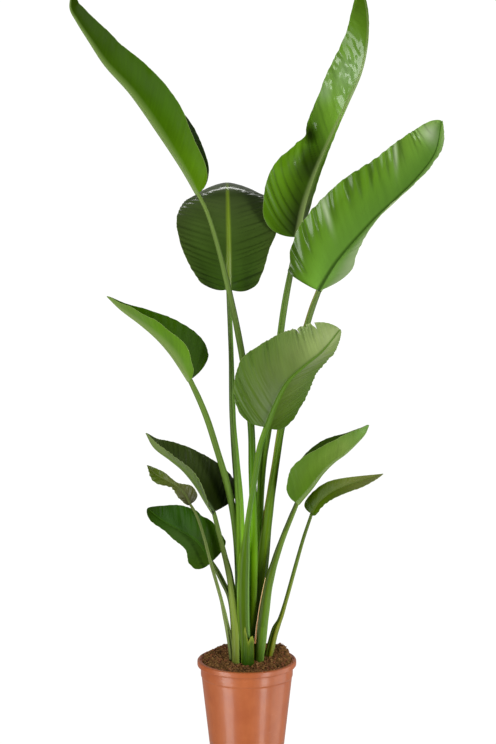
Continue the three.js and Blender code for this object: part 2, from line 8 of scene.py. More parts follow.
import bpy
import numpy as np
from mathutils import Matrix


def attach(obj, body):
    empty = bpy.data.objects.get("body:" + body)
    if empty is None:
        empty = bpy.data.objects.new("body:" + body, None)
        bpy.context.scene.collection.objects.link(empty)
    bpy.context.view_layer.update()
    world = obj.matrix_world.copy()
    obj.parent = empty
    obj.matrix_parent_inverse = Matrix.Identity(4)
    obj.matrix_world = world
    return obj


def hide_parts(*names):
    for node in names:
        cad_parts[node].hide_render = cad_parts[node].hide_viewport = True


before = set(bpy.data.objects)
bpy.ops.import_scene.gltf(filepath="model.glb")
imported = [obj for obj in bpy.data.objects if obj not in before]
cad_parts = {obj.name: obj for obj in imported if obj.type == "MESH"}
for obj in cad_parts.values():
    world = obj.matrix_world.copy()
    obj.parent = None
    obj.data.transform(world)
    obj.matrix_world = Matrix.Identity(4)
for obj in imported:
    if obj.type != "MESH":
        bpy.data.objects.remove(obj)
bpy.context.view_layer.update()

MM = 0.001

# ---------------------------------------------------------------- camera and light

FRAME_HEIGHT_PX = 744
FOCAL_PX = 1342                   # focal length in pixels of the frame
SENSOR_MM = 36.0
CAMERA_PLACE = (0.004, -3.2, 1.13)
CAMERA_DOWN = 3.9                 # degrees below level
CAMERA_ROLL = 0.07                # degrees

WORLD_SEEN = 1.05                 # strength of the white surroundings where they are seen
WORLD_FRONT = 0.12                # and as a light
WORLD_BEHIND = 0.3
WORLD_BELOW = 0.25
# Each side light: degrees from the front towards the right, distance, width, power.
SIDE_LIGHTS = dict(left_box=(-51, 3.2, 1.5, 110), right_box=(45, 3.2, 0.9, 80),
                   right_wall=(92, 3.4, 2.6, 60))
SIDE_LIGHT_LEVEL = 0.4
SIDE_LIGHT_HEIGHT = 4.8
TOP_LIGHT = dict(place=(-0.2, 1.4, 3.6), target=(0, 0, 0.9), width=2.4, height=0.3, power=18)

# ---------------------------------------------------------------- the pot and its soil

POT = dict(foot_radius=90, height=215, wall=3, floor=3, taper=0.114, step=176, collar=111.5,
           lip=120, lip_depth=14, segments=192, foot_holes=8, foot_hole_radius=8)
SOIL = dict(rim_height=211.5, mound=13, tilt=0.2, bottom=4, clearance=0.6, segments=220,
            heap=20, heap_place=(93, 30), heap_reach=31)
STALK_FOOT = 170                  # the stalks run down into the soil to this height

# ---------------------------------------------------------------- the leaves
# Each half of a blade, left and right, takes the leaf's settings and may have its own. Lists
# run from the blade's base to its tip, or from a stalk's foot to the blade. Places are shares
# of the length from 0 to 1.
#
# path: points up the stalk, (x, y, z, half width), from the soil to the blade.
# rib: points along the midrib, (x, y, z). rib_width: its start as a share of the stalk's.
# facing: direction that the upper face looks. large: has the finer grid.
# width: half widths. nicks, dents: (place, depth, reach) of sharp and soft gaps in them.
# fold: rise from flat, in degrees. curl: more of it towards the margin.
# slant: lean towards the tip of the half's rows, in degrees. veins: the side veins' lean.
# wave: (height, waves along the leaf, phase) of the margin.
# pleat: (heights, spacing, share of the half where they start). furrow: how dark the
# painted shade at their feet is.
# ripple: (height, spacing) of fine waves. rumple, frill: (place, reach, height, size) of uneven
# puckers, over a half and at its margin. bleach: (place, reach) of a dried white margin.
# dark, pale, dull: shades, (place and reach along the leaf, place and reach out from the
# midrib, amount, lean towards the tip). dark is painted shade, pale is painted light and painted
# highlights, dull takes off the clear coat. painted_shade_tone, painted_light_tone: the colours
# of the painted shade and light.
# shine, gloss: clear coat and specular level of the upper face, with under_ of the under face.
# polish: roughness of the coat. bump: strength of the fine relief.
# upper, under: the faces' colours. upper_rib, under_rib: the midrib's; on leaf_04 the darker
# upper one is painted shade in its groove.
# upper_tint, under_tint: (colour, share of the half with none, share with
# all, amount). Near the midrib of leaf_01, leaf_04 and leaf_05 this is painted light and
# painted sheen; on leaf_02 it browns the margin, on leaf_06 and leaf_10 it deepens the green
# towards it.
# stalk: its colours. stalk_side_shading: painted light and shade down a stalk's sides,
# (colour, none at, full at, amount), from -1 left to 1 right.
# channel: how deep the groove up the stalk's inner side is, as a share of the full depth.
# ridges: (degrees right of front, start, end) of pale sheath margins along the stalk.

COMMON = dict(
    rib_width=0.9, large=False, nicks=[], dents=[], curl=[0], veins=[24, 30, 32],
    wave=(0, 0, 0), furrow=[0], rumple=[], frill=[], bleach=[], dark=[], pale=[], dull=[],
    painted_shade_tone=(40, 60, 4), painted_light_tone=(150, 175, 90), shine=0.04, gloss=0.22, under_shine=0.04,
    under_gloss=0.22, polish=0.2, bump=0.4, stalk_side_shading=[], channel=[1], ridges=[])

LEAVES = {
    "leaf_01": dict(
        path=[(14, -16, 216, 9.7), (16, -16, 314, 9.6), (18, -16, 460, 10.6), (17, -14, 581, 10),
              (14, -11, 677, 9.4), (12, -8, 773, 9), (1, -8, 881, 8.7), (-14, -12, 977, 8.4),
              (-38, -22, 1096, 7.4), (-72, -30, 1230, 6), (-94, -34, 1297, 5.4),
              (-113, -36, 1334, 5.2)],
        rib=[(-113, -36, 1334), (-149, -42, 1394), (-201, -50, 1471), (-267, -58, 1563),
             (-325, -64, 1627), (-359, -70, 1678), (-388, -74, 1724), (-402, -77, 1752),
             (-398, -80, 1788)],
        facing=[(0.83, -0.1, 0.55), (0.83, -0.1, 0.55), (0.8, -0.1, 0.6)],
        left=dict(
            width=[56, 66, 78, 95, 94, 86, 78, 69, 60, 62, 80], fold=[38, 46, 50, 50],
            curl=[28, 26, 24, 20], wave=(2, 2.6, 0.1), frill=[(0.04, 0.04, 4, 12)]),
        right=dict(
            width=[54, 85, 77, 70, 48, 50], fold=[45, 52, 55, 50], curl=[10], wave=(2, 3, 0.4)),
        large=True, slant=[-5, 10, 20, 20], pleat=([0.6], 40, 0.5), ripple=(0.12, 9),
        # The near-black upper face colour is the leaf's dark green, darkened as painted shade
        # inside the fold.
        shine=0, gloss=0.05, under_shine=0, under_gloss=0.04, upper=[(26, 46, 2), (34, 58, 4)],
        upper_rib=(96, 130, 50), under=[(84, 124, 10), (60, 98, 0), (50, 80, 0), (40, 62, 0)],
        under_tint=((124, 150, 76), 0.24, 0.03, 0.7), under_rib=(128, 150, 92),
        stalk=[(46, 50, 0), (98, 128, 4), (118, 174, 12), (84, 132, 12), (60, 96, 6),
               (86, 116, 36), (98, 122, 54), (104, 130, 56), (112, 138, 60)],
        stalk_side_shading=[((44, 70, 6), 0.5, 0.95, 0.7)]),
    "leaf_02": dict(
        path=[(-15, -14, 216, 9.7), (-14, -14, 363, 9.6), (-15, -13, 496, 10.6),
              (-17, -8, 592, 10.4), (-26, 4, 700, 9.4), (-33, 14, 795, 7.6), (-37, 22, 963, 6.2),
              (-43, 32, 1110, 5.6)],
        rib=[(-43, 32, 1110), (-42, 46, 1204), (-44, 68, 1294), (-46, 104, 1351), (-48, 168, 1374),
             (-49, 280, 1342)],
        facing=[(0, -1, 0.3), (0, -0.9, 0.6), (0, -0.2, 1), (0, 0.3, 1)],
        left=dict(width=[47, 104, 126, 105, 84, 50]),
        right=dict(width=[62, 97, 125, 118, 90, 50], dents=[(0.25, 0.05, 0.06)]),
        large=True, slant=[-25, -5, 10, 30], veins=[10, 14, 22], fold=[15, 8, 2, -4, -10],
        curl=[0, 0, -30, -60, -90], pleat=([1.5], 13, 0), furrow=[0.5, 0.4, 0.1], ripple=(0.4, 6),
        rib_width=1.25, dark=[(0.54, 0.03, 0.35, 0.5, 0.6)],
        dull=[(0.8, 0.15, 0.5, 3, 1), (0.3, 0.25, 0.5, 3, 1)],
        shine=1, gloss=0.06, polish=0.12, bump=0.15,
        upper=[(54, 86, 10), (66, 89, 34), (78, 92, 50), (62, 86, 30)],
        upper_tint=((66, 70, 36), 0.7, 1, 0.25), upper_rib=(126, 152, 40), under=[(84, 116, 40)],
        under_rib=(128, 150, 92),
        stalk=[(68, 98, 20), (128, 184, 16), (120, 168, 32), (122, 158, 72), (102, 128, 62),
               (112, 138, 72)],
        stalk_side_shading=[((54, 78, 16), -0.45, -0.9, 0.6), ((130, 196, 40), 0.1, 0.6, 0.4)],
        ridges=[(62, 0.12, 0.5)]),
    "leaf_03": dict(
        path=[(26, 20, 206, 9.8), (28, 20, 354, 9.7), (32, 18, 502, 9.2), (33, 14, 601, 9),
              (40, 12, 698, 9.2), (52, 14, 771, 8.8), (70, 20, 903, 8.4), (90, 30, 1059, 8.2),
              (111, 34, 1170, 7), (126, 36, 1234, 5.8)],
        rib=[(126, 36, 1234), (139, 34, 1303), (165, 30, 1384), (199, 24, 1464), (239, 18, 1550),
             (272, 12, 1626), (286, 5, 1706), (281, 0, 1775), (266, -5, 1818)],
        facing=[(-0.5, -0.85, 0), (-0.55, -0.75, 0.1), (-0.56, -0.8, 0.2), (-0.6, -0.8, 0.2),
                (-0.6, -0.8, 0.2), (-0.6, -0.8, 0.2)],
        left=dict(
            width=[86, 99, 104, 87, 69, 77, 84, 79, 64, 64, 66], dents=[(0.345, 0.15, 0.028)],
            fold=[20, 28, 34, 40, 26, 12, 10, 10, 26, 36, 36],
            curl=[0, 0, 14, 50, 34, 8, 0, 0, 0, 0, 0], veins=[30, 44, 36, 34], wave=(3, 3.2, 0.3),
            pleat=([1, 1.3, 1.3, 1.2, 0.6, 0.3, 0.3, 0.3, 0.3, 0.3, 0.3], 23, 0),
            furrow=[0.6, 0.8, 0.8, 0.7, 0.3, 0, 0, 0, 0, 0, 0], rumple=[(0.66, 0.15, 2.2, 21)],
            dark=[(0.02, 0.24, 0, 0.6, 1), (0.36, 0.035, 0.8, 0.35, 1), (0.27, 0.1, 0, 0.6, 0.9)],
            pale=[(0.64, 0.07, 0.45, 0.4, 0.45), (0.53, 0.04, 0.85, 0.25, 0.5)],
            dull=[(0.12, 0.22, 0.5, 2, 1), (0.36, 0.06, 0.7, 0.5, 0.8), (0.84, 0.06, 0.5, 3, 1),
                  (0.95, 0.08, 0.5, 3, 1), (0.74, 0.05, 1, 0.5, 1)]),
        right=dict(
            width=[18, 70, 82, 76, 56], fold=[36, 45, 52, 54, 56], pleat=([0.5], 24, 0.3),
            dark=[(0.1, 0.18, 0.5, 1, 0.95)]),
        large=True, slant=[-15, 12, 12, 22], pleat=([1.4], 26, 0), ripple=(0.5, 9), rib_width=1.5,
        shine=1, polish=0.12, bump=0.12, painted_shade_tone=(28, 42, 0), painted_light_tone=(170, 200, 150),
        upper=[(73, 114, 0), (98, 146, 12), (132, 184, 50), (110, 156, 40), (88, 124, 6)],
        upper_rib=(160, 182, 110), under=[(100, 140, 50), (120, 156, 70)],
        under_rib=(150, 170, 110),
        stalk=[(58, 92, 8), (96, 144, 12), (86, 118, 28), (100, 124, 60)]),
    "leaf_04": dict(
        path=[(28, 2, 211, 12), (32, 2, 359, 14), (41, 0, 469, 14), (50, -4, 555, 12),
              (60, -8, 629, 10.2), (71, -8, 701, 9.2), (82, -8, 773, 9), (107, -10, 893, 8),
              (137, -14, 1001, 7.6), (156, -18, 1065, 7.2), (171, -20, 1105, 6.5)],
        rib=[(171, -20, 1105), (214, -24, 1174), (265, -24, 1234), (310, -20, 1282),
             (355, -10, 1323), (409, 5, 1377), (450, 20, 1434), (467, 35, 1510)],
        facing=[(-0.3, -0.9, 0.3)],
        left=dict(
            width=[86, 124, 122, 108, 103, 110], dents=[(0.015, -0.5, 0.025)],
            fold=[20, 15, 15, 20], wave=(3, 3.4, 0), furrow=[0.3], frill=[(0.06, 0.07, 6, 13)],
            dark=[(0.305, 0.012, 0.85, 0.3, 0.5, 0.1), (0.695, 0.012, 0.85, 0.3, 0.5, 0.12),
                  (0.42, 0.01, 0.85, 0.25, 0.45, 0.11), (0.52, 0.01, 0.85, 0.25, 0.45, 0.11),
                  (0.04, 0.13, 1.05, 0.42, 0.7)],
            pale=[(0.91, 0.05, 0.45, 0.4, 0.9), (0.275, 0.012, 0.8, 0.3, 0.9, 0.1),
                  (0.66, 0.013, 0.8, 0.3, 0.9, 0.12)]),
        right=dict(
            width=[108, 78, 104, 74, 58], fold=[30, 62, 63, 60], slant=[38, 16, 20, 25],
            pleat=([1], 24, 0.3), pale=[(0.2, 0.4, 0.9, 0.5, 0.65), (0.6, 0.4, 0.9, 0.5, 0.45)]),
        large=True, slant=[-9, 10, 20, 25], veins=[22, 28, 30, 34],
        pleat=([5.5, 6.5, 6.5, 5, 2], 32, 0.35), ripple=(0.8, 8),
        shine=0.6, painted_light_tone=(190, 210, 164), upper=[(84, 128, 8), (106, 155, 28), (128, 170, 66)],
        # The darker upper midrib colour is painted shade in the midrib's groove.
        upper_tint=((124, 178, 64), 0.7, 0, 0.9), upper_rib=(66, 104, 24),
        under=[(122, 164, 52), (124, 160, 66)], under_rib=(150, 170, 110),
        stalk=[(74, 92, 8), (94, 126, 4), (92, 128, 24), (106, 124, 64)],
        stalk_side_shading=[((150, 120, 30), -0.7, -0.95, 0.6), ((54, 92, 6), 0.2, 0.75, 0.5)],
        ridges=[(-58, 0.2, 0.42)], channel=[0, 0, 0.3, 1, 1, 1]),
    "leaf_05": dict(
        path=[(-20, 4, 211, 8.3), (-19, 4, 358, 8.9), (-23, 2, 493, 8.8), (-33, -6, 580, 8.5),
              (-49, -16, 654, 8.4), (-70, -28, 728, 7.7), (-92, -36, 800, 7.6),
              (-112, -40, 851, 7.2), (-133, -42, 896, 6.4)],
        rib=[(-133, -42, 896), (-177, -50, 960), (-209, -55, 996), (-246, -60, 1028),
             (-295, -64, 1065), (-325, -66, 1094)],
        facing=[(0.67, -0.31, 0.67)],
        left=dict(width=[22, 82, 68, 48, 34], fold=[40], curl=[16], wave=(2, 4.2, 0)),
        right=dict(width=[64, 84, 68, 44, 27, 20], fold=[48], frill=[(0.08, 0.1, 4, 12)]),
        slant=[-5, 5, 10], pleat=([0.4], 22, 0.3), ripple=(0.15, 8),
        shine=0, gloss=0.04, under_gloss=0.12, upper=[(50, 82, 0), (64, 108, 0)],
        upper_rib=(90, 130, 40), under=[(98, 140, 30), (88, 132, 14), (112, 140, 62)],
        under_tint=((144, 164, 96), 0.5, 0.04, 0.7), under_rib=(130, 152, 90),
        stalk=[(60, 92, 20), (80, 112, 30), (96, 126, 44), (104, 134, 50)]),
    "leaf_06": dict(
        path=[(-2, -38, 223, 13), (-8, -41, 345, 15.8), (-6, -42, 454, 14.4), (1, -46, 539, 7.6),
              (11, -52, 612, 6.6), (21, -58, 672, 6.8), (31, -68, 736, 7.2), (47, -80, 788, 7.2)],
        rib=[(47, -80, 788), (70, -105, 850), (96, -135, 900), (131, -170, 937), (169, -215, 973),
             (206, -255, 1023)],
        facing=[(0.3, 0.8, 0.65)],
        left=dict(
            width=[68, 99, 80, 53, 40], fold=[50], pleat=([1.6], 13, 0), frill=[(0.12, 0.1, 3, 9)]),
        right=dict(
            width=[58, 112, 100, 84, 96],
            nicks=[(0.72, 0.2, 0.012), (0.8, 0.12, 0.01), (0.86, 0.3, 0.014)],
            dents=[(0.36, -0.05, 0.06)], fold=[10], frill=[(0.06, 0.08, 4, 12), (0.8, 0.12, 3, 9)],
            bleach=[(0.8, 0.1)]),
        large=True, slant=[-25, 5, 20], veins=[26, 32, 36], pleat=([1.8, 3, 4, 4, 2.5], 13, 0),
        ripple=(1, 6),
        upper=[(66, 100, 30)], upper_rib=(96, 130, 50),
        under=[(70, 96, 22), (82, 106, 34), (98, 120, 52), (136, 156, 88), (150, 168, 104)],
        under_tint=((72, 112, 20), 0.4, 1, 0.4), under_rib=(82, 120, 24),
        stalk=[(56, 76, 2), (66, 92, 2), (78, 112, 12), (88, 128, 34), (86, 122, 24)],
        stalk_side_shading=[((122, 160, 44), -0.55, -0.95, 0.7), ((64, 106, 40), 0.2, 0.8, 0.6)],
        ridges=[(52, 0.1, 0.93), (-64, 0.3, 0.42)]),
    "leaf_07": dict(
        path=[(-25, -40, 221, 10.4), (-25, -39, 282, 10.4), (-32, -33, 366, 10.1),
              (-41, -26, 426, 8.4), (-53, -16, 473, 6.7), (-65, -12, 520, 6), (-74, -12, 557, 5.8),
              (-79, -12, 576, 5.4)],
        rib=[(-79, -12, 576), (-98, -15, 605), (-119, -19, 640), (-150, -24, 679),
             (-179, -30, 704), (-219, -36, 736), (-238, -38, 770)],
        facing=[(0.67, -0.2, 0.7)],
        left=dict(width=[38, 46, 42, 40, 34], fold=[5, 28, 38, 40, 40], wave=(2, 2.4, 0.3)),
        right=dict(
            width=[110, 97, 61, 41, 22], fold=[40], wave=(2, 2.5, 0), furrow=[0.1, 0.4, 0.4],
            dark=[(0.1, 0.2, 0.5, 2, 0.7)]),
        slant=[-15, 10, 20], pleat=([1.2], 14, 0.1), ripple=(0.5, 6),
        shine=0.03, gloss=0.08, painted_shade_tone=(22, 34, 0),
        upper=[(30, 44, 0), (58, 74, 26), (66, 84, 34)], upper_rib=(84, 110, 50),
        under=[(92, 122, 34), (110, 130, 66)], under_rib=(120, 140, 84),
        stalk=[(100, 112, 40), (120, 140, 52), (102, 120, 52), (98, 124, 52)],
        ridges=[(40, 0.05, 0.32)]),
    "leaf_08": dict(
        path=[(-36, -22, 224, 6.6), (-42, -25, 273, 6.6), (-51, -32, 322, 5.8),
              (-61, -42, 371, 4.3), (-74, -51, 421, 4.1), (-87, -60, 470, 3.8),
              (-102, -64, 530, 3.5), (-120, -68, 583, 3.3), (-133, -70, 605, 3.2)],
        rib=[(-133, -70, 605), (-146, -74, 630), (-167, -80, 652), (-190, -84, 665),
             (-213, -88, 679), (-232, -90, 700)],
        facing=[(0.3, -0.8, 0.5)],
        left=dict(width=[14, 20, 20, 22, 22, 14], wave=(4, 2.2, 0.2)),
        right=dict(width=[24, 26, 8, 15, 16, 12], wave=(4, 2.2, 0.6)),
        slant=[-10, 15, 30], fold=[20], pleat=([1.6], 12, 0.2), ripple=(0.9, 7),
        upper=[(46, 44, 16), (86, 92, 42), (100, 110, 50), (76, 97, 16), (80, 94, 28)],
        upper_rib=(110, 124, 66), under=[(110, 124, 72)], under_rib=(120, 134, 80),
        stalk=[(116, 132, 70), (126, 142, 80), (106, 122, 64), (88, 98, 48)]),
    "leaf_09": dict(
        path=[(-33, -8, 216, 6.2), (-34, -8, 314, 6.2), (-42, -8, 371, 6.4), (-58, -4, 405, 6.4),
              (-70, -2, 428, 6), (-85, 0, 452, 5.4)],
        rib=[(-85, 0, 452), (-102, -2, 480), (-123, -8, 507), (-161, -20, 534), (-201, -32, 560),
             (-236, -40, 590)],
        facing=[(0.3, -0.7, 0.6)],
        left=dict(
            width=[79, 86, 53, 42, 62], slant=[3, 14, 20], wave=(2, 3, 0.1),
            pale=[(0.5, 0.3, 0.5, 0.6, 0.5)]),
        right=dict(width=[54, 60, 61, 46, 30], dents=[(0.38, 0.07, 0.04)]),
        slant=[5, 5, 20], fold=[25], pleat=([0.5], 17, 0.1), ripple=(0.4, 6),
        shine=0.03, gloss=0.05, painted_light_tone=(96, 124, 64),
        upper=[(62, 92, 14), (46, 78, 0), (47, 90, 0), (45, 88, 0), (36, 60, 0)],
        upper_rib=(68, 108, 28), under=[(84, 116, 50)], under_rib=(110, 140, 70),
        stalk=[(64, 78, 30), (82, 98, 44), (84, 104, 40)]),
    "leaf_10": dict(
        path=[(30, -28, 220, 11.3), (34, -29, 274, 14), (41, -29, 337, 13.4), (52, -28, 407, 11.4),
              (69, -26, 467, 8.8), (86, -25, 516, 7.4), (103, -25, 559, 6.7), (120, -25, 600, 5.8)],
        rib=[(120, -25, 600), (152, -25, 636), (180, -27, 673), (207, -30, 700), (234, -33, 720),
             (260, -37, 745), (280, -40, 768), (289, -42, 789)],
        facing=[(-0.7, 0, 0.7)],
        left=dict(width=[44, 70, 67, 44, 34]),
        right=dict(width=[48, 92, 69, 55, 40]),
        slant=[-10, 10, 20], fold=[50], pleat=([0.7], 20, 0.3), ripple=(0.3, 7),
        upper=[(46, 70, 0), (54, 82, 6)], upper_rib=(96, 130, 50),
        under=[(80, 118, 12), (94, 128, 36), (114, 142, 60), (100, 144, 54)],
        under_tint=((72, 112, 10), 0.5, 1, 0.5), under_rib=(132, 156, 90),
        stalk=[(60, 94, 22), (82, 116, 22), (94, 122, 30), (104, 128, 44)],
        stalk_side_shading=[((54, 70, 6), 0.25, -0.6, 0.9), ((120, 156, 66), 0.4, 0.9, 0.6)]),
    "leaf_11": dict(
        path=[(52, -6, 213, 9), (58, -6, 245, 10), (69, -5, 287, 9), (81, -4, 314, 5.8),
              (95, -4, 360, 5), (115, -6, 434, 4.8), (136, -9, 510, 4.3), (156, -10, 571, 3.9)],
        rib=[(156, -10, 571), (172, -14, 598), (200, -22, 624), (235, -32, 642), (272, -42, 656),
             (323, -52, 674)],
        facing=[(-0.3, -0.6, 0.7)],
        left=dict(width=[30, 28, 15, 6]),
        right=dict(width=[24, 42, 42, 30]),
        slant=[-10, 10, 20], fold=[25], pleat=([0.8], 16, 0.2), ripple=(0.4, 7),
        gloss=0.1, upper=[(68, 98, 0), (84, 108, 12), (114, 126, 52), (128, 132, 74)],
        upper_rib=(104, 124, 50), under=[(108, 128, 44), (118, 138, 54)], under_rib=(120, 140, 80),
        stalk=[(116, 120, 12), (130, 140, 24), (98, 120, 38), (90, 110, 42)],
        stalk_side_shading=[((60, 76, 14), 0, -0.85, 0.8), ((132, 156, 84), 0.3, 0.9, 0.5)]),
}

LARGE_GRID = (300, 34)            # rows along a blade, columns out over each half
SMALL_GRID = (190, 22)
STEPS_OUT = 24                    # straight steps that a bent half is walked out in
FIRST_ROW = 0.0006                # the blade's ends, kept off its points
LAST_ROW = 0.998
BLADE_THICKNESS = 0.75
MARGIN_THICKNESS = 0.4
MARGIN_STRIP = 1.2                # width of the pale line along a blade's margin
MARGIN_TONE = (170, 184, 120)
VEIN_ARCH = 0.12                  # how far the side veins bend towards the tip, in half widths
GROOVE_DEPTH = 0.3                # share of the midrib's half width, on the upper face
KEEL_DEPTH = 1.1                  # share of the midrib's half width, on the under face
TIP_RIB = 0.8                     # half width of the midrib at the tip
CRUMBS_ON_SOIL = 1700
CRUMBS_ON_RIM = 150
FIBRES = 260
STALK_SIDES = 36
STALK_STEP = 5                    # length between a stalk's rings
CHANNEL_DEPTH = 0.38              # shares of the stalk's half width
LIP_HEIGHT = 0.08
RIDGE_HEIGHT = 0.05
CHANNEL_TONE = (120, 160, 60)
RIDGE_TONE = (150, 196, 96)

# ---------------------------------------------------------------- numbers and noise


def unit(v):
    return v / np.linalg.norm(v, axis=-1, keepdims=True)


def along(values, u):
    """Smooth value through a list spread evenly over u from 0 to 1."""
    values = np.array(values, float)
    if len(values) == 1:
        return np.full_like(u, values[0])
    padded = np.concatenate([[2 * values[0] - values[1]], values, [2 * values[-1] - values[-2]]])
    x = np.clip(u, 0, 1) * (len(values) - 1)
    i = np.minimum(np.floor(x).astype(int), len(values) - 2)
    t = x - i
    a, b, c, d = (padded[i + k] for k in range(4))
    return b + 0.5 * t * (c - a + t * (2 * a - 5 * b + 4 * c - d + t * (3 * (b - c) + d - a)))


def smooth(t):
    t = np.clip(t, 0, 1)
    return t * t * (3 - 2 * t)


def bell(x, middle, reach):
    """Fades from 1 at the middle to 0 well away from it."""
    return np.exp(-((x - middle) / reach) ** 2)


def turns(count):
    """Angles spread evenly round a circle."""
    return 2 * np.pi * np.arange(count) / count


def polar(radius, turn):
    return radius * math.cos(turn), radius * math.sin(turn)


def noise(x, y, seed):
    """Smooth noise from -1 to 1 on a plane."""
    size = 97
    table = np.random.default_rng(seed).uniform(-1, 1, (size, size))
    xi = np.floor(x).astype(int)
    yi = np.floor(y).astype(int)
    tx = smooth(x - xi)
    ty = smooth(y - yi)

    def row(j):
        start = table[xi % size, (yi + j) % size]
        return start * (1 - tx) + table[(xi + 1) % size, (yi + j) % size] * tx

    return row(0) * (1 - ty) + row(1) * ty


def pleats(x, y, spacing, seed):
    """Long folds across x: a slow rise, then a quick fall, at uneven spacing.

    Also gives how near the foot of a fold each place is.
    """
    phase = x / spacing + 0.45 * noise(x / spacing / 1.7, y * 0.8, seed)
    part = phase - np.floor(phase)
    rise = np.where(part < 0.7, smooth(part / 0.7), smooth((1 - part) / 0.3))
    strength = 0.55 + 0.45 * noise(x / spacing / 1.3, y * 0.6, seed + 1)
    return (2 * rise - 1) * strength, strength * bell(part, 0.92, 0.08)


class Curve:
    """Smooth curve through points, looked up by share of its length."""

    STEPS = 60

    def __init__(self, points):
        points = np.array(points, float)
        ends = (2 * points[0] - points[1], 2 * points[-1] - points[-2])
        padded = np.vstack([ends[0], points, ends[1]])
        t = np.linspace(0, 1, self.STEPS, endpoint=False)[:, None]
        pieces = []
        for i in range(len(points) - 1):
            p0, p1, p2, p3 = padded[i:i + 4]
            d0, d1, d2 = (np.linalg.norm(b - a) ** 0.5 for a, b in ((p0, p1), (p1, p2), (p2, p3)))
            m1 = ((p1 - p0) / d0 - (p2 - p0) / (d0 + d1) + (p2 - p1) / d1) * d1
            m2 = ((p2 - p1) / d1 - (p3 - p1) / (d1 + d2) + (p3 - p2) / d2) * d1
            cubic = 2 * p1 - 2 * p2 + m1 + m2
            square = -3 * p1 + 3 * p2 - 2 * m1 - m2
            pieces.append(p1 + m1 * t + square * t ** 2 + cubic * t ** 3)
        self.points = np.vstack(pieces + [points[-1:]])
        travel = np.cumsum(np.linalg.norm(np.diff(self.points, axis=0), axis=1))
        self.travel = np.concatenate([[0], travel])
        self.length = self.travel[-1]
        self.stops = self.travel[::self.STEPS] / self.length

    def at(self, u):
        distance = np.asarray(u) * self.length
        return np.stack([np.interp(distance, self.travel, c) for c in self.points.T], -1)

    def forward(self, u):
        step = 0.004
        return unit(self.at(np.minimum(u + step, 1)) - self.at(np.maximum(u - step, 0)))


# ---------------------------------------------------------------- meshes


def placed(name, data):
    """A new object in the scene."""
    obj = bpy.data.objects.new(name, data)
    bpy.context.scene.collection.objects.link(obj)
    return obj


def piece(name, vertices, faces, materials, slots=None, attributes=None, sharp=50):
    """A piece from millimetre vertices, shaded smooth up to the sharp angle."""
    mesh = bpy.data.meshes.new(name)
    mesh.from_pydata((np.asarray(vertices) * MM).tolist(), [], faces)
    for material in materials:
        mesh.materials.append(material)
    if slots is not None:
        mesh.polygons.foreach_set("material_index", np.asarray(slots, np.int32))
    for key, values in (attributes or {}).items():
        layer = mesh.attributes.new(key, "FLOAT_VECTOR", "POINT")
        layer.data.foreach_set("vector", np.asarray(values, np.float32).ravel())
    mesh.polygons.foreach_set("use_smooth", [True] * len(mesh.polygons))
    mesh.set_sharp_from_angle(angle=math.radians(sharp))
    mesh.update()
    return placed(name, mesh)


def vectors(*grids):
    """A vector for each point, from three grids or numbers."""
    return np.stack(np.broadcast_arrays(*grids), -1).reshape(-1, 3)


def grid_faces(rows, columns, start=0, around=False):
    """Quads of a grid of vertices. With around, the last column joins the first."""
    r, c = np.meshgrid(np.arange(rows - 1), np.arange(columns if around else columns - 1),
                       indexing="ij")
    n = (c + 1) % columns
    quads = np.stack([r * columns + c, r * columns + n, (r + 1) * columns + n,
                      (r + 1) * columns + c], -1).reshape(-1, 4)
    return (quads + start).tolist()


def flipped(faces):
    return [face[::-1] for face in faces]


def joined(parts):
    """The vertices and faces of many small meshes as one."""
    vertices, faces = [], []
    start = 0
    for points, own in parts:
        vertices.append(points)
        faces += [[i + start for i in face] for face in own]
        start += len(points)
    return np.vstack(vertices), faces


def tube_faces(rows, sides):
    """Faces of a tube of rings, with a flat face at each end."""
    last = (rows - 1) * sides
    ends = [list(range(sides))[::-1], list(range(last, last + sides))]
    return grid_faces(rows, sides, around=True) + ends


def capped(rings, first, last):
    """Vertices and faces of rings closed by a fan to a point at each end."""
    count, sides = rings.shape[:2]
    faces = grid_faces(count, sides, around=True)
    low, top = count * sides, (count - 1) * sides
    for k in range(sides):
        n = (k + 1) % sides
        faces.append([low, n, k])
        faces.append([low + 1, top + k, top + n])
    return np.vstack([rings.reshape(-1, 3), first, last]), faces


def sheet_piece(name, upper, lower, materials, attributes):
    """A thin closed piece between two equal grids, with the first material on the upper."""
    rows, columns = upper.shape[:2]
    count = rows * columns
    faces = grid_faces(rows, columns)
    top = len(faces)
    faces += flipped(grid_faces(rows, columns, count))
    index = np.arange(count).reshape(rows, columns)
    loop = np.concatenate([index[0, :], index[1:, -1], index[-1, -2::-1], index[-2:0:-1, 0]])
    for a, b in zip(loop.tolist(), np.roll(loop, -1).tolist()):
        faces.append([b, a, a + count, b + count])
    slots = [0] * top + [len(materials) - 1] * (len(faces) - top)
    vertices = np.vstack([upper.reshape(-1, 3), lower.reshape(-1, 3)])
    both = {key: np.tile(values, (2, 1)) for key, values in attributes.items()}
    return piece(name, vertices, faces, materials, slots, both)


# ---------------------------------------------------------------- materials


def screen(rgb):
    """Linear colour of a 0 to 255 screen colour."""
    values = [c / 255 for c in rgb]
    linear = [((c + 0.055) / 1.055) ** 2.4 if c > 0.04045 else c / 12.92 for c in values]
    return (*linear, 1.0)


def add_node(tree, kind, inputs, **settings):
    """A shader node, with its inputs linked to other nodes or set."""
    node = tree.nodes.new("ShaderNode" + kind)
    for key, value in settings.items():
        setattr(node, key, value)
    for key, value in inputs.items():
        if isinstance(value, bpy.types.NodeSocket):
            tree.links.new(value, node.inputs[key])
        else:
            node.inputs[key].default_value = value
    return node


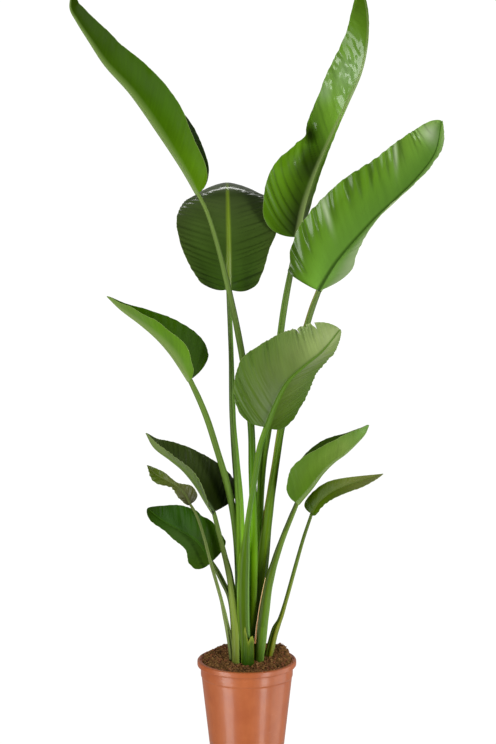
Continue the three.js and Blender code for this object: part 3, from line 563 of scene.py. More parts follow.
class Nodes:
    """A material's node tree, with short calls for its nodes. Tones are screen colours."""

    def __init__(self, name, roughness=0.5, specular=0.5, coat=0.0, coat_roughness=0.3):
        self.material = bpy.data.materials.new(name)
        self.material.use_nodes = True
        self.tree = self.material.node_tree
        self.shader = self.tree.nodes["Principled BSDF"]
        self.shader.inputs["Roughness"].default_value = roughness
        self.shader.inputs["Specular IOR Level"].default_value = specular
        self.shader.inputs["Coat Weight"].default_value = coat
        self.shader.inputs["Coat Roughness"].default_value = coat_roughness

    def add(self, kind, inputs, **settings):
        return add_node(self.tree, kind, inputs, **settings)

    def link(self, value, name):
        self.tree.links.new(value, self.shader.inputs[name])

    def attribute(self, name):
        return self.add("Attribute", {}, attribute_name=name).outputs["Vector"]

    def object_place(self):
        return self.add("TexCoord", {}).outputs["Object"]

    def parts(self, vector):
        return self.add("SeparateXYZ", {0: vector}).outputs

    def noise(self, vector, scale, detail=2.0, rough=0.5, shift=0.0):
        """Noise with one scale, or with a scale for each axis."""
        if isinstance(scale, tuple):
            inputs = {0: vector, 1: scale, 2: (shift, shift, shift)}
            vector = self.add("VectorMath", inputs, operation="MULTIPLY_ADD").outputs[0]
            scale = 1.0
        inputs = {"Vector": vector, "Scale": scale, "Detail": detail, "Roughness": rough}
        return self.add("TexNoise", inputs).outputs["Fac"]

    def spread(self, value, low, high, to_low, to_high):
        return self.add("MapRange", {0: value, 1: low, 2: high, 3: to_low, 4: to_high}).outputs[0]

    def vary(self, noise, low, high):
        """A factor from low to high, over the range that a noise mostly has."""
        return self.spread(noise, 0.3, 0.7, low, high)

    def math(self, operation, a, b):
        return self.add("Math", {0: a, 1: b}, operation=operation).outputs[0]

    def ramp(self, value, tones, places=None):
        node = self.add("ValToRGB", {0: value})
        elements = node.color_ramp.elements
        places = places or [i / max(len(tones) - 1, 1) for i in range(len(tones))]
        elements[0].position = places[0]
        elements[0].color = screen(tones[0])
        elements[1].position = places[-1]
        elements[1].color = screen(tones[-1])
        for place, tone in list(zip(places, tones))[1:-1]:
            elements.new(place).color = screen(tone)
        return node.outputs[0]

    def blend(self, colour, tone, mask, none=0, full=1, amount=1):
        """A colour taken towards a tone: not at all where the mask is none, by amount at full."""
        inputs = {0: self.spread(mask, none, full, 0, amount), 6: colour, 7: screen(tone)}
        return self.add("Mix", inputs, data_type="RGBA").outputs[2]

    def shade(self, colour, factor):
        """A colour made darker or lighter by a number."""
        return self.add("VectorMath", {0: colour, 3: factor}, operation="SCALE").outputs[0]

    def finish(self, colour, roughness, height, distance, strength):
        self.link(colour, "Base Color")
        if roughness is not None:
            self.link(roughness, "Roughness")
        bump = self.add("Bump", {"Height": height, "Distance": distance, "Strength": strength})
        self.link(bump.outputs[0], "Normal")
        return self.material


def blade_material(name, leaf, face, seed):
    """Leaf skin: side veins, soft patches, paler midrib and margin line, painted light and shade.

    The attribute vein holds metres along and across the leaf on its side veins and the share
    of the half, place holds the share along the leaf and the nearness of the midrib and of
    the margin, the attribute of painted light and shade holds the strength of the painted shade,
    of the painted light and highlights and of the painted shade at the feet of the pleats, and
    finish holds how dull the skin is.
    """
    key = "" if face == "upper" else "under_"
    shine = leaf[key + "shine"]
    n = Nodes(name, specular=leaf[key + "gloss"], coat=shine, coat_roughness=leaf["polish"])
    vein = n.attribute("vein")
    out = n.parts(vein)[2]
    share, near_rib, near_margin = n.parts(n.attribute("place"))[:3]
    fine = n.noise(vein, (620, 12, 0), rough=0.6, shift=seed)
    broad = n.noise(vein, (130, 6, 0), shift=seed)
    patch = n.noise(vein, (16, 16, 0), shift=seed)
    light = n.math("MULTIPLY", n.vary(fine, 0.95, 1.05), n.vary(broad, 0.94, 1.06))
    light = n.math("MULTIPLY", light, n.vary(patch, 0.9, 1.1))
    colour = n.shade(n.ramp(share, leaf[face]), light)
    # Towards the midrib of leaf_01, leaf_04 and leaf_05 this is painted light and painted sheen; on
    # leaf_02, leaf_06 and leaf_10 it shifts the colour towards the margin.
    if face + "_tint" in leaf:
        tint, *reach = leaf[face + "_tint"]
        colour = n.blend(colour, tint, out, *reach)
    # Painted shade (dark), painted light and highlights (pale) and painted shade at the pleats'
    # feet.
    dark, pale, furrow = n.parts(n.attribute("painted_light_and_shade"))[:3]
    colour = n.blend(colour, leaf["painted_light_tone"], pale)
    colour = n.blend(colour, leaf["painted_shade_tone"], dark)
    # Painted shade at the feet of the pleats.
    colour = n.shade(colour, n.math("SUBTRACT", 1.0, furrow))
    colour = n.blend(colour, leaf[face + "_rib"], near_rib, amount=0.85)
    colour = n.blend(colour, MARGIN_TONE, near_margin, amount=0.5)
    rough = n.math("MULTIPLY", n.vary(patch, 0.28, 0.36), n.vary(fine, 0.94, 1.06))
    if leaf["left"]["dull"] or leaf["right"]["dull"]:
        dull = n.parts(n.attribute("finish"))[0]
        n.link(n.spread(dull, 0, 1, shine, 0), "Coat Weight")
    height = n.math("ADD", n.math("MULTIPLY", fine, 0.12), broad)
    return n.finish(colour, rough, height, 0.00025, leaf["bump"])


def stalk_material(name, leaf, seed):
    """Leaf stalk: fine lines along it, a paler channel and pale sheath margins, with painted light
    and shade down its left and right sides.

    The attribute vein holds metres around and along the stalk and how far to the left (-1) or
    right (1) a place is, and place holds the share along the stalk, the nearness of the
    channel and the nearness of a sheath margin.
    """
    n = Nodes(name, specular=0.12, coat=0.06, coat_roughness=0.22)
    vein = n.attribute("vein")
    across = n.parts(vein)[2]
    share, channel, margin = n.parts(n.attribute("place"))[:3]
    lines = n.noise(vein, (900, 8, 0), rough=0.6, shift=seed * 0.53)
    broad = n.noise(vein, (160, 6, 0), detail=1.0, shift=seed * 0.53)
    colour = n.ramp(share, leaf["stalk"])
    # Painted light and shade down the stalk's left and right sides.
    for tone, *reach in leaf["stalk_side_shading"]:
        colour = n.blend(colour, tone, across, *reach)
    light = n.math("MULTIPLY", n.vary(lines, 0.88, 1.12), n.vary(broad, 0.8, 1.2))
    colour = n.shade(colour, light)
    colour = n.blend(colour, CHANNEL_TONE, channel, amount=0.35)
    colour = n.blend(colour, RIDGE_TONE, margin, amount=0.8)
    return n.finish(colour, n.vary(broad, 0.34, 0.46), lines, 0.0004, 0.5)


def pot_material():
    """Moulded plastic with a soft gloss, faint flow marks and a few scuffs."""
    n = Nodes("pot_plastic", coat=0.25, coat_roughness=0.14)
    at = n.object_place()
    cloud = n.noise(at, 22, 3.0)
    streak = n.noise(at, (60, 60, 6), 3.0)
    grain = n.noise(at, 900)
    scuff = n.noise(at, (40, 40, 160), 5.0, 0.7)
    colour = n.ramp(cloud, [(172, 89, 46), (184, 100, 53)], [0.3, 0.7])
    colour = n.shade(colour, n.vary(streak, 0.96, 1.04))
    colour = n.blend(colour, (220, 168, 140), scuff, 0.62, 0.8, 0.25)
    rough = n.spread(n.math("ADD", streak, n.math("MULTIPLY", cloud, 0.5)), 0.4, 1.0, 0.3, 0.42)
    return n.finish(colour, rough, grain, 0.0001, 0.25)


def soil_material(name, dark, mid, light):
    """Damp peat: dark between the crumbs, with reddish and pale fibres."""
    n = Nodes(name, roughness=0.9, specular=0.25)
    at = n.object_place()
    clod = n.noise(at, 130, 4.0, 0.65)
    speck = n.noise(at, 900, 3.0, 0.7)
    colour = n.ramp(clod, [dark, mid, light], [0.34, 0.52, 0.72])
    colour = n.blend(colour, (150, 104, 62), speck, 0.6, 0.75, 0.5)
    height = n.math("ADD", clod, n.math("MULTIPLY", speck, 0.4))
    return n.finish(colour, None, height, 0.0015, 0.8)


def sheath_material(name, low, high, tip, edge, roughness):
    """Fading sheath: lines along it, paler towards its top and along its edges."""
    n = Nodes(name, roughness=roughness, specular=0.12)
    vein = n.attribute("vein")
    share, margin = n.parts(n.attribute("place"))[:2]
    lines = n.noise(vein, (700, 12, 1), 3.0, 0.6)
    blotch = n.noise(vein, (90, 40, 1), 3.0, 0.6)
    colour = n.ramp(share, [low, high, tip], [0.1, 0.84, 1])
    colour = n.shade(colour, n.vary(lines, 0.82, 1.18))
    colour = n.shade(colour, n.vary(blotch, 0.8, 1.2))
    colour = n.blend(colour, edge, margin, amount=0.85)
    return n.finish(colour, None, lines, 0.0004, 0.6)


# ---------------------------------------------------------------- blades


def blade_shape(u):
    """Rounded start and drawn-out tip of every blade."""
    start = np.minimum(u / 0.1, 1)
    tip = np.maximum((u - 0.62) / 0.38, 0)
    return np.sqrt(1 - (1 - start) ** 2) * np.maximum(1 - tip * tip, 0) ** 0.75


def half_width(half, u, seed):
    width = along(half["width"], u) * blade_shape(u)
    for place, depth, reach in half["nicks"]:
        width = width * (1 - depth * np.maximum(0, 1 - np.abs(u - place) / reach))
    for place, depth, reach in half["dents"]:
        width = width * (1 - depth * bell(u, place, reach))
    ragged = 0.008 * noise(u * 45, 0, seed) + 0.004 * noise(u * 140, 0, seed + 1)
    return width * (1 + ragged)


def half_surface(half, side, u, axes, reach, width, length):
    """Points of one half of a blade, in rows at u and columns at the distances in reach.

    Also gives each point's share of the half, and its place along the leaf on its side vein.
    """
    middle, forward, normal, across = axes
    fold = along(half["fold"], u)
    curl = along(half["curl"], u)
    slant = np.radians(along(half["slant"], u))
    angle = np.radians(fold + curl * (np.arange(STEPS_OUT) + 0.5) / STEPS_OUT)[..., None]
    outward = np.cos(angle) * side * across + np.sin(angle) * normal
    direction = np.cos(slant)[..., None] * outward + np.sin(slant)[..., None] * forward
    travel = np.cumsum(direction * (width / STEPS_OUT)[..., None], axis=1)
    path = middle + np.concatenate([np.zeros_like(middle), travel], axis=1)
    share = np.clip(reach / width, 0, 1)
    x = share * STEPS_OUT
    i = np.minimum(np.floor(x).astype(int), STEPS_OUT - 1)
    t = (x - i)[..., None]
    rows = np.arange(len(u))[:, None]
    points = path[rows, i] * (1 - t) + path[rows, i + 1] * t
    edge = np.radians(fold + curl)[..., None]
    lift = -np.sin(edge) * side * across + np.cos(edge) * normal
    height, waves, phase = half["wave"]
    swing = np.sin(2 * np.pi * (waves * u + phase)) * blade_shape(u) * height
    points = points + (share ** 2 * swing)[..., None] * lift
    lean = np.tan(np.radians(along(half["veins"], u)))
    vein = u * length + reach * (np.sin(slant) - np.cos(slant) * lean)
    return points, share, vein - VEIN_ARCH * width * share ** 2


def relief(half, u, share, vein, reach, side, seed):
    """Height of the pleats and ripples along the side veins, and the painted shade at their feet.
    """
    y = share * side + 3
    heights, spacing, start = half["pleat"]
    folds, feet = pleats(vein, y, spacing, seed)
    ramp = smooth((share - start) / max(1 - start, 0.2))
    bumps = along(heights, u) * ramp * folds
    # Painted shade in the creases at the feet of the pleats.
    furrow = along(half["furrow"], u) * feet * smooth((share - start) / 0.3)
    height, step = half["ripple"]
    bumps = bumps + height * (0.35 + 0.65 * share) * noise(vein / step, y * 1.4, seed + 5)
    bumps = bumps + 0.5 * share ** 4 * noise(vein / 13, y, seed + 6)
    for place, span, height, size in half["rumple"]:
        coarse = noise(vein / size, reach / size, seed + 7)
        small = noise(vein / size * 2.3, reach / size * 2.3, seed + 8)
        pucker = height * (coarse + 0.5 * small)
        bumps = bumps + pucker * bell(u, place, span) * smooth(share * 3)
    for place, span, height, size in half["frill"]:
        crimp = noise(vein / size, reach / size / 3, seed + 9)
        bumps = bumps + height * crimp * bell(u, place, span) * share ** 3
    return bumps * blade_shape(u) * smooth(share * 8), np.clip(furrow, 0, 1)


def shade(patches, u, share):
    """Strength over one half of one kind of patch: painted shade, painted light, duller coat."""
    total = 0 * share
    for place, span, out, width, amount, *lean in patches:
        leaning = u - sum(lean) * (share - out)
        patch = amount * bell(leaning, place, span) * bell(share, out, width)
        total = np.maximum(total, patch)
    return total


def margin_strength(half, u, share, vein, seed):
    """How pale the margin is: a thin line all along, and wider where it is bleached."""
    margin = np.zeros_like(share)
    margin[:, -1] = 1
    for place, span in half["bleach"]:
        dried = smooth((share - 0.9 + 0.08 * noise(vein / 6, share * 3, seed)) / 0.06)
        margin = np.maximum(margin, dried * bell(u, place, span) * 1.6)
    return margin


def half_blade(half, side, u, axes, rib, columns, length, seed):
    """Everything that the blade's grid needs for one half, in rows at u, from the rib out."""
    width = np.maximum(half_width(half, u, seed + 10 * side + 20), rib * 1.25)
    strip = np.minimum(MARGIN_STRIP, 0.1 * width)
    inner = rib + (width - strip - rib) * np.linspace(0, 1, columns)
    reach = np.concatenate([rib / 3, 2 * rib / 3, inner, width], axis=1)
    points, share, vein = half_surface(half, side, u, axes, reach, width, length)
    bumps, furrow = relief(half, u, share, vein, reach, side, seed + 3 * side + 40)
    # Patches of painted shade (dark), of painted light and highlights (pale) and of a duller coat.
    dark, pale, dull = (shade(half[key], u, share) for key in ("dark", "pale", "dull"))
    margin = margin_strength(half, u, share, vein, seed)
    parts = (points, share, bumps, margin, reach * side, vein, dark, pale, dull, furrow)
    return [part[:, ::-1] for part in parts] if side < 0 else parts


def build_blade(name, leaf, seed):
    rows, columns = LARGE_GRID if leaf["large"] else SMALL_GRID
    t = np.linspace(0, 1, rows)[:, None]
    closer = t - 0.75 * np.sin(2 * np.pi * t) / (2 * np.pi)
    u = FIRST_ROW + closer * (LAST_ROW - FIRST_ROW)
    curve = Curve(leaf["rib"])
    middle = curve.at(u)
    forward = curve.forward(u)
    look = np.stack([along([f[k] for f in leaf["facing"]], u) for k in range(3)], -1)
    normal = unit(look - forward * (look * forward).sum(-1, keepdims=True))
    axes = (middle, forward, normal, np.cross(forward, normal))
    start = leaf["path"][-1][3] * leaf["rib_width"]
    rib = start + (TIP_RIB - start) * u ** 0.7
    left, right = (half_blade(leaf[key], side, u, axes, rib, columns, curve.length, seed)
                   for side, key in ((-1, "left"), (1, "right")))
    zero = 0 * u
    centres = (middle, zero, zero, zero, zero, u * curve.length,
               *(0.5 * (left[k][:, -1:] + right[k][:, :1]) for k in (6, 7, 8, 9)))
    grid, share, bumps, margin, reach, vein, dark, pale, dull, furrow = (
        np.concatenate(parts, axis=1) for parts in zip(left, centres, right))
    near = np.clip(np.abs(reach) / rib, 0, 1)
    normals = unit(np.cross(np.gradient(grid, axis=1), np.gradient(grid, axis=0)))
    groove = GROOVE_DEPTH * rib * 0.5 * (1 + np.cos(np.pi * near))
    upper = grid + normals * (bumps - groove)[..., None]
    keel = KEEL_DEPTH * rib * np.sqrt(np.maximum(1 - near ** 2, 0))
    thickness = BLADE_THICKNESS + (MARGIN_THICKNESS - BLADE_THICKNESS) * share + keel
    lower = upper - normals * thickness[..., None]
    near_rib = np.clip(1.6 - np.abs(reach) / rib, 0, 1)
    attributes = {"vein": vectors(vein * MM, reach * MM, share),
                  "place": vectors(u, near_rib, margin),
                  # painted shade, painted light and highlights, painted shade at the feet of the
                  # pleats
                  "painted_light_and_shade": vectors(dark, pale, furrow),
                  "finish": vectors(dull, 0, 0)}
    materials = [blade_material(f"{name}_{face}", leaf, face, seed) for face in ("upper", "under")]
    return sheet_piece(f"{name}_leaf", upper, lower, materials, attributes)


# ---------------------------------------------------------------- stalks


def stalk_line(leaf):
    """Centre line of a stalk, shares along it and the half width at each."""
    foot = list(leaf["path"][0])
    foot[2] = STALK_FOOT
    points = [foot, *leaf["path"]]
    curve = Curve([p[:3] for p in points])
    u = np.linspace(0, 1, int(curve.length / STALK_STEP))[:, None]
    widths = np.array([p[3] for p in points], float)
    i = np.clip(np.searchsorted(curve.stops, u, side="right") - 1, 0, len(points) - 2)
    t = (u - curve.stops[i]) / np.maximum(curve.stops[i + 1] - curve.stops[i], 1e-6)
    return curve, u, widths[i] + (widths[i + 1] - widths[i]) * smooth(t)


def build_stalk(name, leaf, seed):
    curve, u, width = stalk_line(leaf)
    depth = width * (0.8 + 0.2 * np.clip(u * 1.6, 0, 1))
    forward = curve.forward(u)
    across = unit(np.array([1.0, 0, 0]) - forward * forward[..., :1])
    behind = np.cross(forward, across)
    inner = np.array(leaf["facing"][0], float)
    turn = turns(STALK_SIDES)
    angle = np.arctan2(behind @ inner, across @ inner) + turn
    off = np.abs((turn + np.pi) % (2 * np.pi) - np.pi)
    dip = CHANNEL_DEPTH * along(leaf["channel"], u) * np.clip(1 - off / 0.62, 0, 1) ** 1.3
    lips = LIP_HEIGHT * bell(off, 0.72, 0.14) * smooth((0.6 - u) / 0.35)
    front = np.degrees((angle + np.pi / 2 + np.pi) % (2 * np.pi) - np.pi)
    ridge = np.zeros_like(angle)
    for degrees, low, high in leaf["ridges"]:
        fade = smooth((u - low) / 0.04) * smooth((high - u) / 0.06)
        ridge = np.maximum(ridge, bell(front, degrees, 7) * fade)
    uneven = 0.02 * noise(u * curve.length / 60, 0, seed)
    radius = 1 - dip + lips + RIDGE_HEIGHT * ridge + uneven
    x = (width * radius * np.cos(angle))[..., None]
    y = (depth * radius * np.sin(angle))[..., None]
    rings = curve.at(u) + x * across + y * behind
    vertices, faces = capped(rings, rings[0].mean(0), rings[-1].mean(0))
    girth = np.sin(angle / 2) * width * MM * 2
    ends = np.zeros((2, 3))
    vein = vectors(girth, u * curve.length * MM, np.sin(np.radians(front)))
    place = vectors(u, np.clip(1 - off / 0.5, 0, 1), ridge)
    attributes = {"vein": np.vstack([vein, ends]), "place": np.vstack([place, ends])}
    material = stalk_material(f"{name}_skin", leaf, seed)
    return piece(f"{name}_petiole", vertices, faces, [material], attributes=attributes)


# ---------------------------------------------------------------- sheaths at the foot


def sheath_piece(name, outer, inner, material):
    """A thin shell from two grids, rows from foot to top."""
    rows, columns = outer.shape[:2]
    side = np.abs(np.linspace(-1, 1, columns))
    steps = np.linalg.norm(np.gradient(outer, axis=1), axis=-1)
    share = np.linspace(0, 1, rows)[:, None]
    attributes = {"vein": vectors(np.cumsum(steps, 1) * MM, outer[:, :, 2] * MM, 0),
                  "place": vectors(share, smooth((side - 0.86) / 0.14), 0)}
    return sheet_piece(name, outer, inner, [material], attributes)


def build_old_sheath():
    """A cut-back sheath round the front stalk, with a pointed left lobe."""
    centre = (3, -40)
    radius = (15.5, 17)
    thickness = 1.6
    foot = STALK_FOOT + 15
    stops = [-78, -62, -46, -30, -15, 0, 15, 30, 46, 62, 78]
    tops = [262, 276, 292, 307, 290, 272, 276, 283, 284, 280, 270]
    turn = np.linspace(-78, 78, 61)
    top = np.interp(turn, stops, tops) + 1.2 * noise(turn / 4, 0, 71)
    level = np.linspace(0, 1, 60)[:, None]
    angle = np.radians(turn)
    z = foot + (top - foot) * level
    ribs = 0.35 * np.sin(angle * 26) * (1 - 0.5 * level)
    flare = 1 - 0.06 * level

    def shell(inset):
        x = centre[0] + (radius[0] - inset + ribs) * flare * np.sin(angle)
        y = centre[1] - (radius[1] - inset + ribs) * flare * np.cos(angle)
        return np.stack([x, y, z], -1)

    material = sheath_material("old_sheath_skin", (24, 70, 4), (76, 104, 6), (136, 150, 46),
                               (206, 160, 50), 0.36)
    return sheath_piece("old_sheath_skin", shell(0), shell(thickness), material)


def build_dry_sheath():
    """A dried sheath margin that leans up the left of the right-hand front stalk."""
    path = [(20.5, -44, 264), (23.5, -46, 300), (29, -46.5, 342), (36, -46, 381), (45, -44, 424)]
    widths = [5.4, 3.2, 2.2, 2, 1.2]
    side = np.array([0.8, 0.6, 0])
    normal = np.array([0.6, -0.8, 0])
    thickness = 0.5
    u = np.linspace(0, 1, 70)[:, None]
    share = np.linspace(-1, 1, 9)
    across = along(widths, u) / 2 * share
    roll = 0.5 * np.cos(np.pi * share) * (1 + 0.6 * noise(u * 9, 0, 5))
    outer = Curve(path).at(u) + across[..., None] * side + roll[..., None] * normal
    material = sheath_material("dry_sheath_skin", (150, 96, 56), (214, 172, 112), (226, 190, 132),
                               (244, 226, 180), 0.65)
    return sheath_piece("dry_sheath_skin", outer, outer - normal * thickness, material)


# ---------------------------------------------------------------- soil

SOIL_RADIUS = POT["collar"] - POT["wall"] - SOIL["clearance"]


def pot_outer(z):
    """The pot's radius below the step."""
    return POT["foot_radius"] + POT["taper"] * z


def soil_height(x, y):
    reach = np.minimum(np.hypot(x, y) / (POT["collar"] - POT["wall"]), 1)
    bumps = 1.6 * noise(x / 24, y / 24, 3) + 1.6 * noise(x / 9, y / 9, 4)
    bumps = bumps + 1.2 * noise(x / 3.6, y / 3.6, 5) + 0.6 * noise(x / 1.6, y / 1.6, 6)
    away = np.hypot(x - SOIL["heap_place"][0], y - SOIL["heap_place"][1])
    heap = SOIL["heap"] * bell(away, 0, SOIL["heap_reach"]) * (1 - reach ** 24)
    mound = (1 - reach ** 5) * (SOIL["mound"] + SOIL["tilt"] * y)
    return SOIL["rim_height"] + mound + heap + bumps


def build_soil():
    """The peat as one solid: a rough top, and sides that follow the inside of the pot."""
    centre = np.linspace(1.5, 0.4 * SOIL_RADIUS, 34, endpoint=False)
    radii = np.concatenate([centre, np.linspace(0.4, 1, 74) * SOIL_RADIUS])
    angle = turns(SOIL["segments"])
    x = radii[:, None] * np.cos(angle)
    y = radii[:, None] * np.sin(angle)
    sides = [(SOIL_RADIUS, POT["step"] + 4), (pot_outer(POT["step"]) - 3.6, POT["step"] - 3),
             (POT["foot_radius"] - 3.2, SOIL["bottom"])]
    rings = [np.stack([radius * np.cos(angle), radius * np.sin(angle), z + 0 * angle], -1)[None]
             for radius, z in sides]
    rings = np.concatenate([np.stack([x, y, soil_height(x, y)], -1), *rings])
    middle = float(soil_height(0, 0))
    vertices, faces = capped(rings, [0, 0, middle], [0, 0, SOIL["bottom"]])
    material = soil_material("peat", (54, 36, 14), (120, 84, 42), (170, 128, 74))
    return piece("soil_bed", vertices, flipped(faces), [material], sharp=180)


def lump(rng, radius):
    """A rough crumb: a small ball pushed about at random."""
    rings, sides = 5, 8
    points = [(0.0, 0.0, 1.0)]
    for i in range(1, rings):
        down = math.pi * i / rings
        for k in range(sides):
            turn = 2 * math.pi * (k + 0.5 * (i % 2)) / sides
            points.append((*polar(math.sin(down), turn), math.cos(down)))
    points.append((0.0, 0.0, -1.0))
    points = np.array(points) * rng.uniform(0.72, 1.25, (len(points), 1))
    points = points * radius * rng.uniform(0.6, 1.25, 3)
    spin = np.linalg.qr(rng.normal(size=(3, 3)))[0]
    faces = []
    last = len(points) - 1
    for k in range(sides):
        n = (k + 1) % sides
        faces.append([0, 1 + k, 1 + n])
        faces.append([last, last - sides + n, last - sides + k])
        for i in range(rings - 2):
            a, b = 1 + i * sides, 1 + (i + 1) * sides
            faces.append([a + k, b + k, b + n, a + n])
    mirrored = np.linalg.det(spin) < 0
    return points @ spin * [1, 1, 0.8], flipped(faces) if mirrored else faces


def scatter(rng, count, limit, clear):
    """Places on the soil, away from the stalks."""
    stalks = [leaf["path"][0] for leaf in LEAVES.values()]
    spots = []
    while len(spots) < count:
        radius = limit * math.sqrt(rng.uniform())
        turn = rng.uniform(0, 2 * math.pi)
        x, y = polar(radius, turn)
        if all(math.hypot(x - sx, y - sy) > half + clear for sx, sy, _, half in stalks):
            spots.append((x, y))
    return spots


def spilled(rng, count):
    """Places of crumbs that lie on the rim, most of them at the back and the front right."""
    spots = []
    while len(spots) < count:
        turn = rng.uniform(0, 2 * math.pi)
        behind = rng.uniform() < 0.35 + 0.65 * math.sin(turn)
        if behind or math.cos(turn + 0.9) > rng.uniform() + 0.3:
            radius = rng.uniform(POT["collar"] - 3, POT["collar"] + 3.5)
            spots.append(polar(radius, turn))
    return spots


def build_crumbs():
    """Loose crumbs over the soil and on the rim, in two shades."""
    rng = np.random.default_rng(11)
    on_soil = scatter(rng, CRUMBS_ON_SOIL, SOIL_RADIUS - 2, 1.0)
    on_rim = spilled(rng, CRUMBS_ON_RIM)
    parts, slots = [], []
    for k, (x, y) in enumerate(on_soil + on_rim):
        radius = 0.9 + 3.2 * rng.uniform() ** 2.6
        if k < len(on_soil):
            z = float(soil_height(x, y)) + radius * 0.25
        else:
            z = POT["height"] + 0.4
            radius = 0.7 + 0.35 * radius
        points, faces = lump(rng, radius)
        parts.append((points + [x, y, z], faces))
        slots += [int(rng.uniform() < 0.35)] * len(faces)
    materials = [soil_material("peat_crumb", (68, 46, 20), (130, 92, 48), (178, 136, 82)),
                 soil_material("peat_clod", (84, 46, 28), (136, 84, 52), (180, 130, 88))]
    return piece("soil_crumbs", *joined(parts), materials, slots, sharp=60)


def thread(points, radius, sides=5):
    """Vertices and faces of a closed thin tube along points, thinner at both ends."""
    points = np.array(points, float)
    forward = unit(np.gradient(points, axis=0))
    across = unit(np.cross(forward, [0.31, 0.17, 0.93]))
    behind = np.cross(forward, across)
    t = np.linspace(0, 1, len(points))
    half = radius * (0.35 + 0.65 * np.sin(np.pi * t))[:, None, None]
    turn = turns(sides)[:, None]
    rings = points[:, None] + half * (np.cos(turn) * across[:, None]
                                      + np.sin(turn) * behind[:, None])
    return rings.reshape(-1, 3), tube_faces(len(points), sides)


def build_fibres():
    """Thin pale root and peat fibres that lie over the crumbs."""
    rng = np.random.default_rng(23)
    parts = []
    for x, y in scatter(rng, FIBRES, SOIL_RADIUS - 12, 0.5):
        length = rng.uniform(5, 17)
        turn = rng.uniform(0, 2 * math.pi)
        bend = rng.uniform(-2.2, 2.2)
        lift = rng.uniform(0.6, 2.6)
        points = []
        for i in range(7):
            t = i / 6 - 0.5
            px = x + length * t * math.cos(turn + bend * t)
            py = y + length * t * math.sin(turn + bend * t)
            z = float(soil_height(px, py)) + lift + 1.2 * math.cos(math.pi * t)
            points.append((px, py, z))
        parts.append(thread(points, rng.uniform(0.2, 0.45)))
    material = soil_material("peat_fibre", (120, 80, 46), (172, 124, 78), (214, 172, 122))
    return piece("soil_fibres", *joined(parts), [material], sharp=60)


# ---------------------------------------------------------------- pot


def arc(centre, radius, first, last, steps):
    """Points of an arc in the plane of a profile, angles in degrees."""
    angles = [math.radians(first + (last - first) * i / steps) for i in range(steps + 1)]
    return [(centre[0] + radius * math.cos(a), centre[1] + radius * math.sin(a)) for a in angles]


def pot_profile():
    """Outline of the pot's wall, from the middle of the foot round the rim and back inside."""
    height, lip, step = POT["height"], POT["lip"], POT["step"]
    under = height - POT["lip_depth"]
    collar, wall, floor = POT["collar"], POT["wall"], POT["floor"]
    points = [(60, 0), *arc((POT["foot_radius"] - 2.4, 2.4), 2.4, -90, -8, 6)]
    points += [(pot_outer(z), z) for z in np.linspace(12, step - 4, 14)]
    points += [(pot_outer(step) - 0.2, step - 1.2), (pot_outer(step) + 0.25, step - 0.5),
               (collar - 0.25, step + 0.3), (collar, step + 1.2), (collar + 0.3, step + 12),
               (collar + 0.6, under - 3), (collar + 1.0, under - 0.9), (collar + 1.9, under - 0.1)]
    points += arc((lip - 2.6, under + 2.6), 2.6, -90, 0, 6)
    points += [(lip, height - 6), *arc((lip - 4.2, height - 4.2), 4.2, 0, 90, 8)]
    points += [(collar + 0.5, height - 0.3)]
    points += arc((collar - wall + 3, height - 3.6), 3.0, 100, 180, 6)
    points += [(collar - wall, step + 8), (collar - wall, step + 3),
               (pot_outer(step) - wall, step - 2), (pot_outer(floor) - wall, floor), (60, floor)]
    return points


def build_pot():
    angles = turns(POT["segments"])
    rings = np.array([[(*polar(r, a), z) for a in angles] for r, z in pot_profile()])
    vertices, faces = capped(rings, [0, 0, 0], [0, 0, POT["floor"]])
    pot = piece("pot_shell", vertices, faces, [pot_material()], sharp=40)
    cut_foot_holes(pot)
    return pot


def cut_foot_holes(pot):
    """Drain notches at the corner of the foot."""
    sides = 20
    count = POT["foot_holes"]
    reach = 13                        # how far a cut goes, up and down
    parts = []
    for k in range(count):
        centre = polar(POT["foot_radius"] - 4, 2 * math.pi * (k + 0.5) / count)
        circle = arc(centre, POT["foot_hole_radius"], 0, 360, sides)[:-1]
        ends = [(x, y, z) for z in (-reach, reach) for x, y in circle]
        parts.append((ends, tube_faces(2, sides)))
    cutter = piece("foot_hole_cutter", *joined(parts), [])
    cut = pot.modifiers.new("foot_holes", "BOOLEAN")
    cut.operation = "DIFFERENCE"
    cut.solver = "EXACT"
    cut.object = cutter
    bpy.context.view_layer.update()
    evaluated = pot.evaluated_get(bpy.context.evaluated_depsgraph_get())
    mesh = bpy.data.meshes.new_from_object(evaluated)
    pot.modifiers.clear()
    pot.data = mesh
    bpy.data.objects.remove(cutter)


# ---------------------------------------------------------------- stage


def area_light(name, place, target, width, height, power):
    data = bpy.data.lights.new(name, "AREA")
    data.shape = "RECTANGLE"
    data.size = width
    data.size_y = height
    data.energy = power
    light = placed(name, data)
    light.location = place
    x, y, z = np.array(target) - np.array(place)
    light.rotation_euler = (math.atan2(math.hypot(x, y), -z), 0, math.atan2(-x, y))


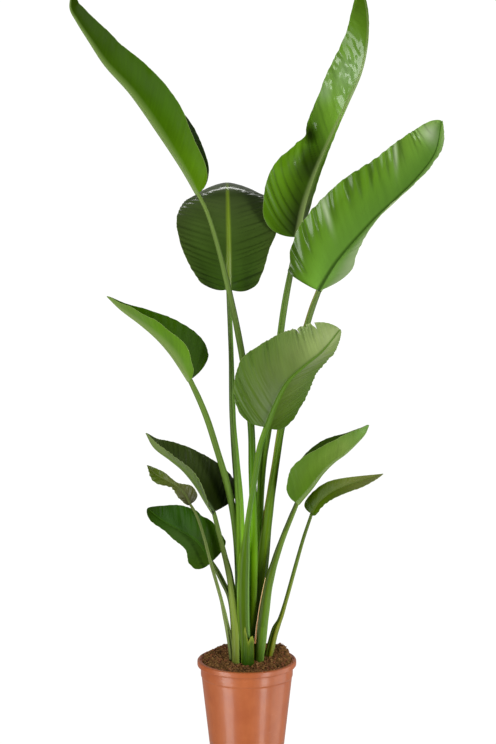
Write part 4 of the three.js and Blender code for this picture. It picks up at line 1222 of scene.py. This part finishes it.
def build_world():
    """White surroundings: full white where seen; as a light, bright behind and below only."""
    world = bpy.data.worlds.new("studio")
    world.use_nodes = True
    tree = world.node_tree

    def add(kind, inputs, **settings):
        return add_node(tree, kind, inputs, **settings).outputs[0]

    direction = add_node(tree, "TexCoord", {}).outputs["Generated"]
    _, y, z = add_node(tree, "SeparateXYZ", {0: direction}).outputs[:3]
    behind = add("MapRange", {0: y, 1: 0.45, 2: 0.95, 3: WORLD_FRONT, 4: WORLD_BEHIND},
                 interpolation_type="SMOOTHSTEP")
    below = add("MapRange", {0: z, 1: -0.1, 2: -0.9, 3: 0.0, 4: WORLD_BELOW},
                interpolation_type="SMOOTHSTEP")
    strength = add("Math", {0: behind, 1: below}, operation="ADD")
    white = (1, 1, 1, 1)
    lighting = tree.nodes["Background"]
    lighting.inputs["Color"].default_value = white
    tree.links.new(strength, lighting.inputs["Strength"])
    seen = add("Background", {0: white, 1: WORLD_SEEN})
    path = add_node(tree, "LightPath", {}).outputs["Is Camera Ray"]
    mix = add("MixShader", {0: path, 1: lighting.outputs[0], 2: seen})
    tree.links.new(mix, tree.nodes["World Output"].inputs["Surface"])
    bpy.context.scene.world = world


def build_stage():
    build_world()
    level = SIDE_LIGHT_LEVEL
    for name, (degrees, distance, width, power) in SIDE_LIGHTS.items():
        turn = math.radians(degrees)
        place = (distance * math.sin(turn), -distance * math.cos(turn), level)
        area_light(name, place, (0, 0, level), width, SIDE_LIGHT_HEIGHT, power)
    area_light("top", **TOP_LIGHT)
    bpy.context.scene.view_settings.view_transform = "Standard"


def build_camera():
    data = bpy.data.cameras.new("camera")
    data.sensor_fit = "VERTICAL"
    data.sensor_height = SENSOR_MM
    data.lens = FOCAL_PX / FRAME_HEIGHT_PX * SENSOR_MM
    camera = placed("camera", data)
    camera.location = CAMERA_PLACE
    camera.rotation_euler = (math.radians(90 - CAMERA_DOWN), math.radians(CAMERA_ROLL), 0)
    bpy.context.scene.camera = camera


# ---------------------------------------------------------------- assembly


def keep(obj, slot, *nodes):
    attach(obj, "root")
    if nodes:
        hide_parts(*nodes)


def completed(leaf):
    """A leaf's settings with the common ones. Each half starts from the whole leaf's."""
    leaf = {**COMMON, **leaf}
    return {**leaf, "left": {**leaf, **leaf["left"]}, "right": {**leaf, **leaf["right"]}}


build_camera()
build_stage()
keep(build_pot(), "pot", "pot")
keep(build_soil(), "soil", "soil")
keep(build_crumbs(), "soil")
keep(build_fibres(), "soil")
for number, (leaf_name, leaf_sizes) in enumerate(LEAVES.items(), 1):
    whole_leaf = completed(leaf_sizes)
    keep(build_blade(leaf_name, whole_leaf, number * 100), "blade", f"{leaf_name}_blade")
    keep(build_stalk(leaf_name, whole_leaf, number * 100 + 50), "stalk", f"{leaf_name}_stalk")
keep(build_old_sheath(), "sheath", "old_sheath")
keep(build_dry_sheath(), "dry", "dry_sheath")
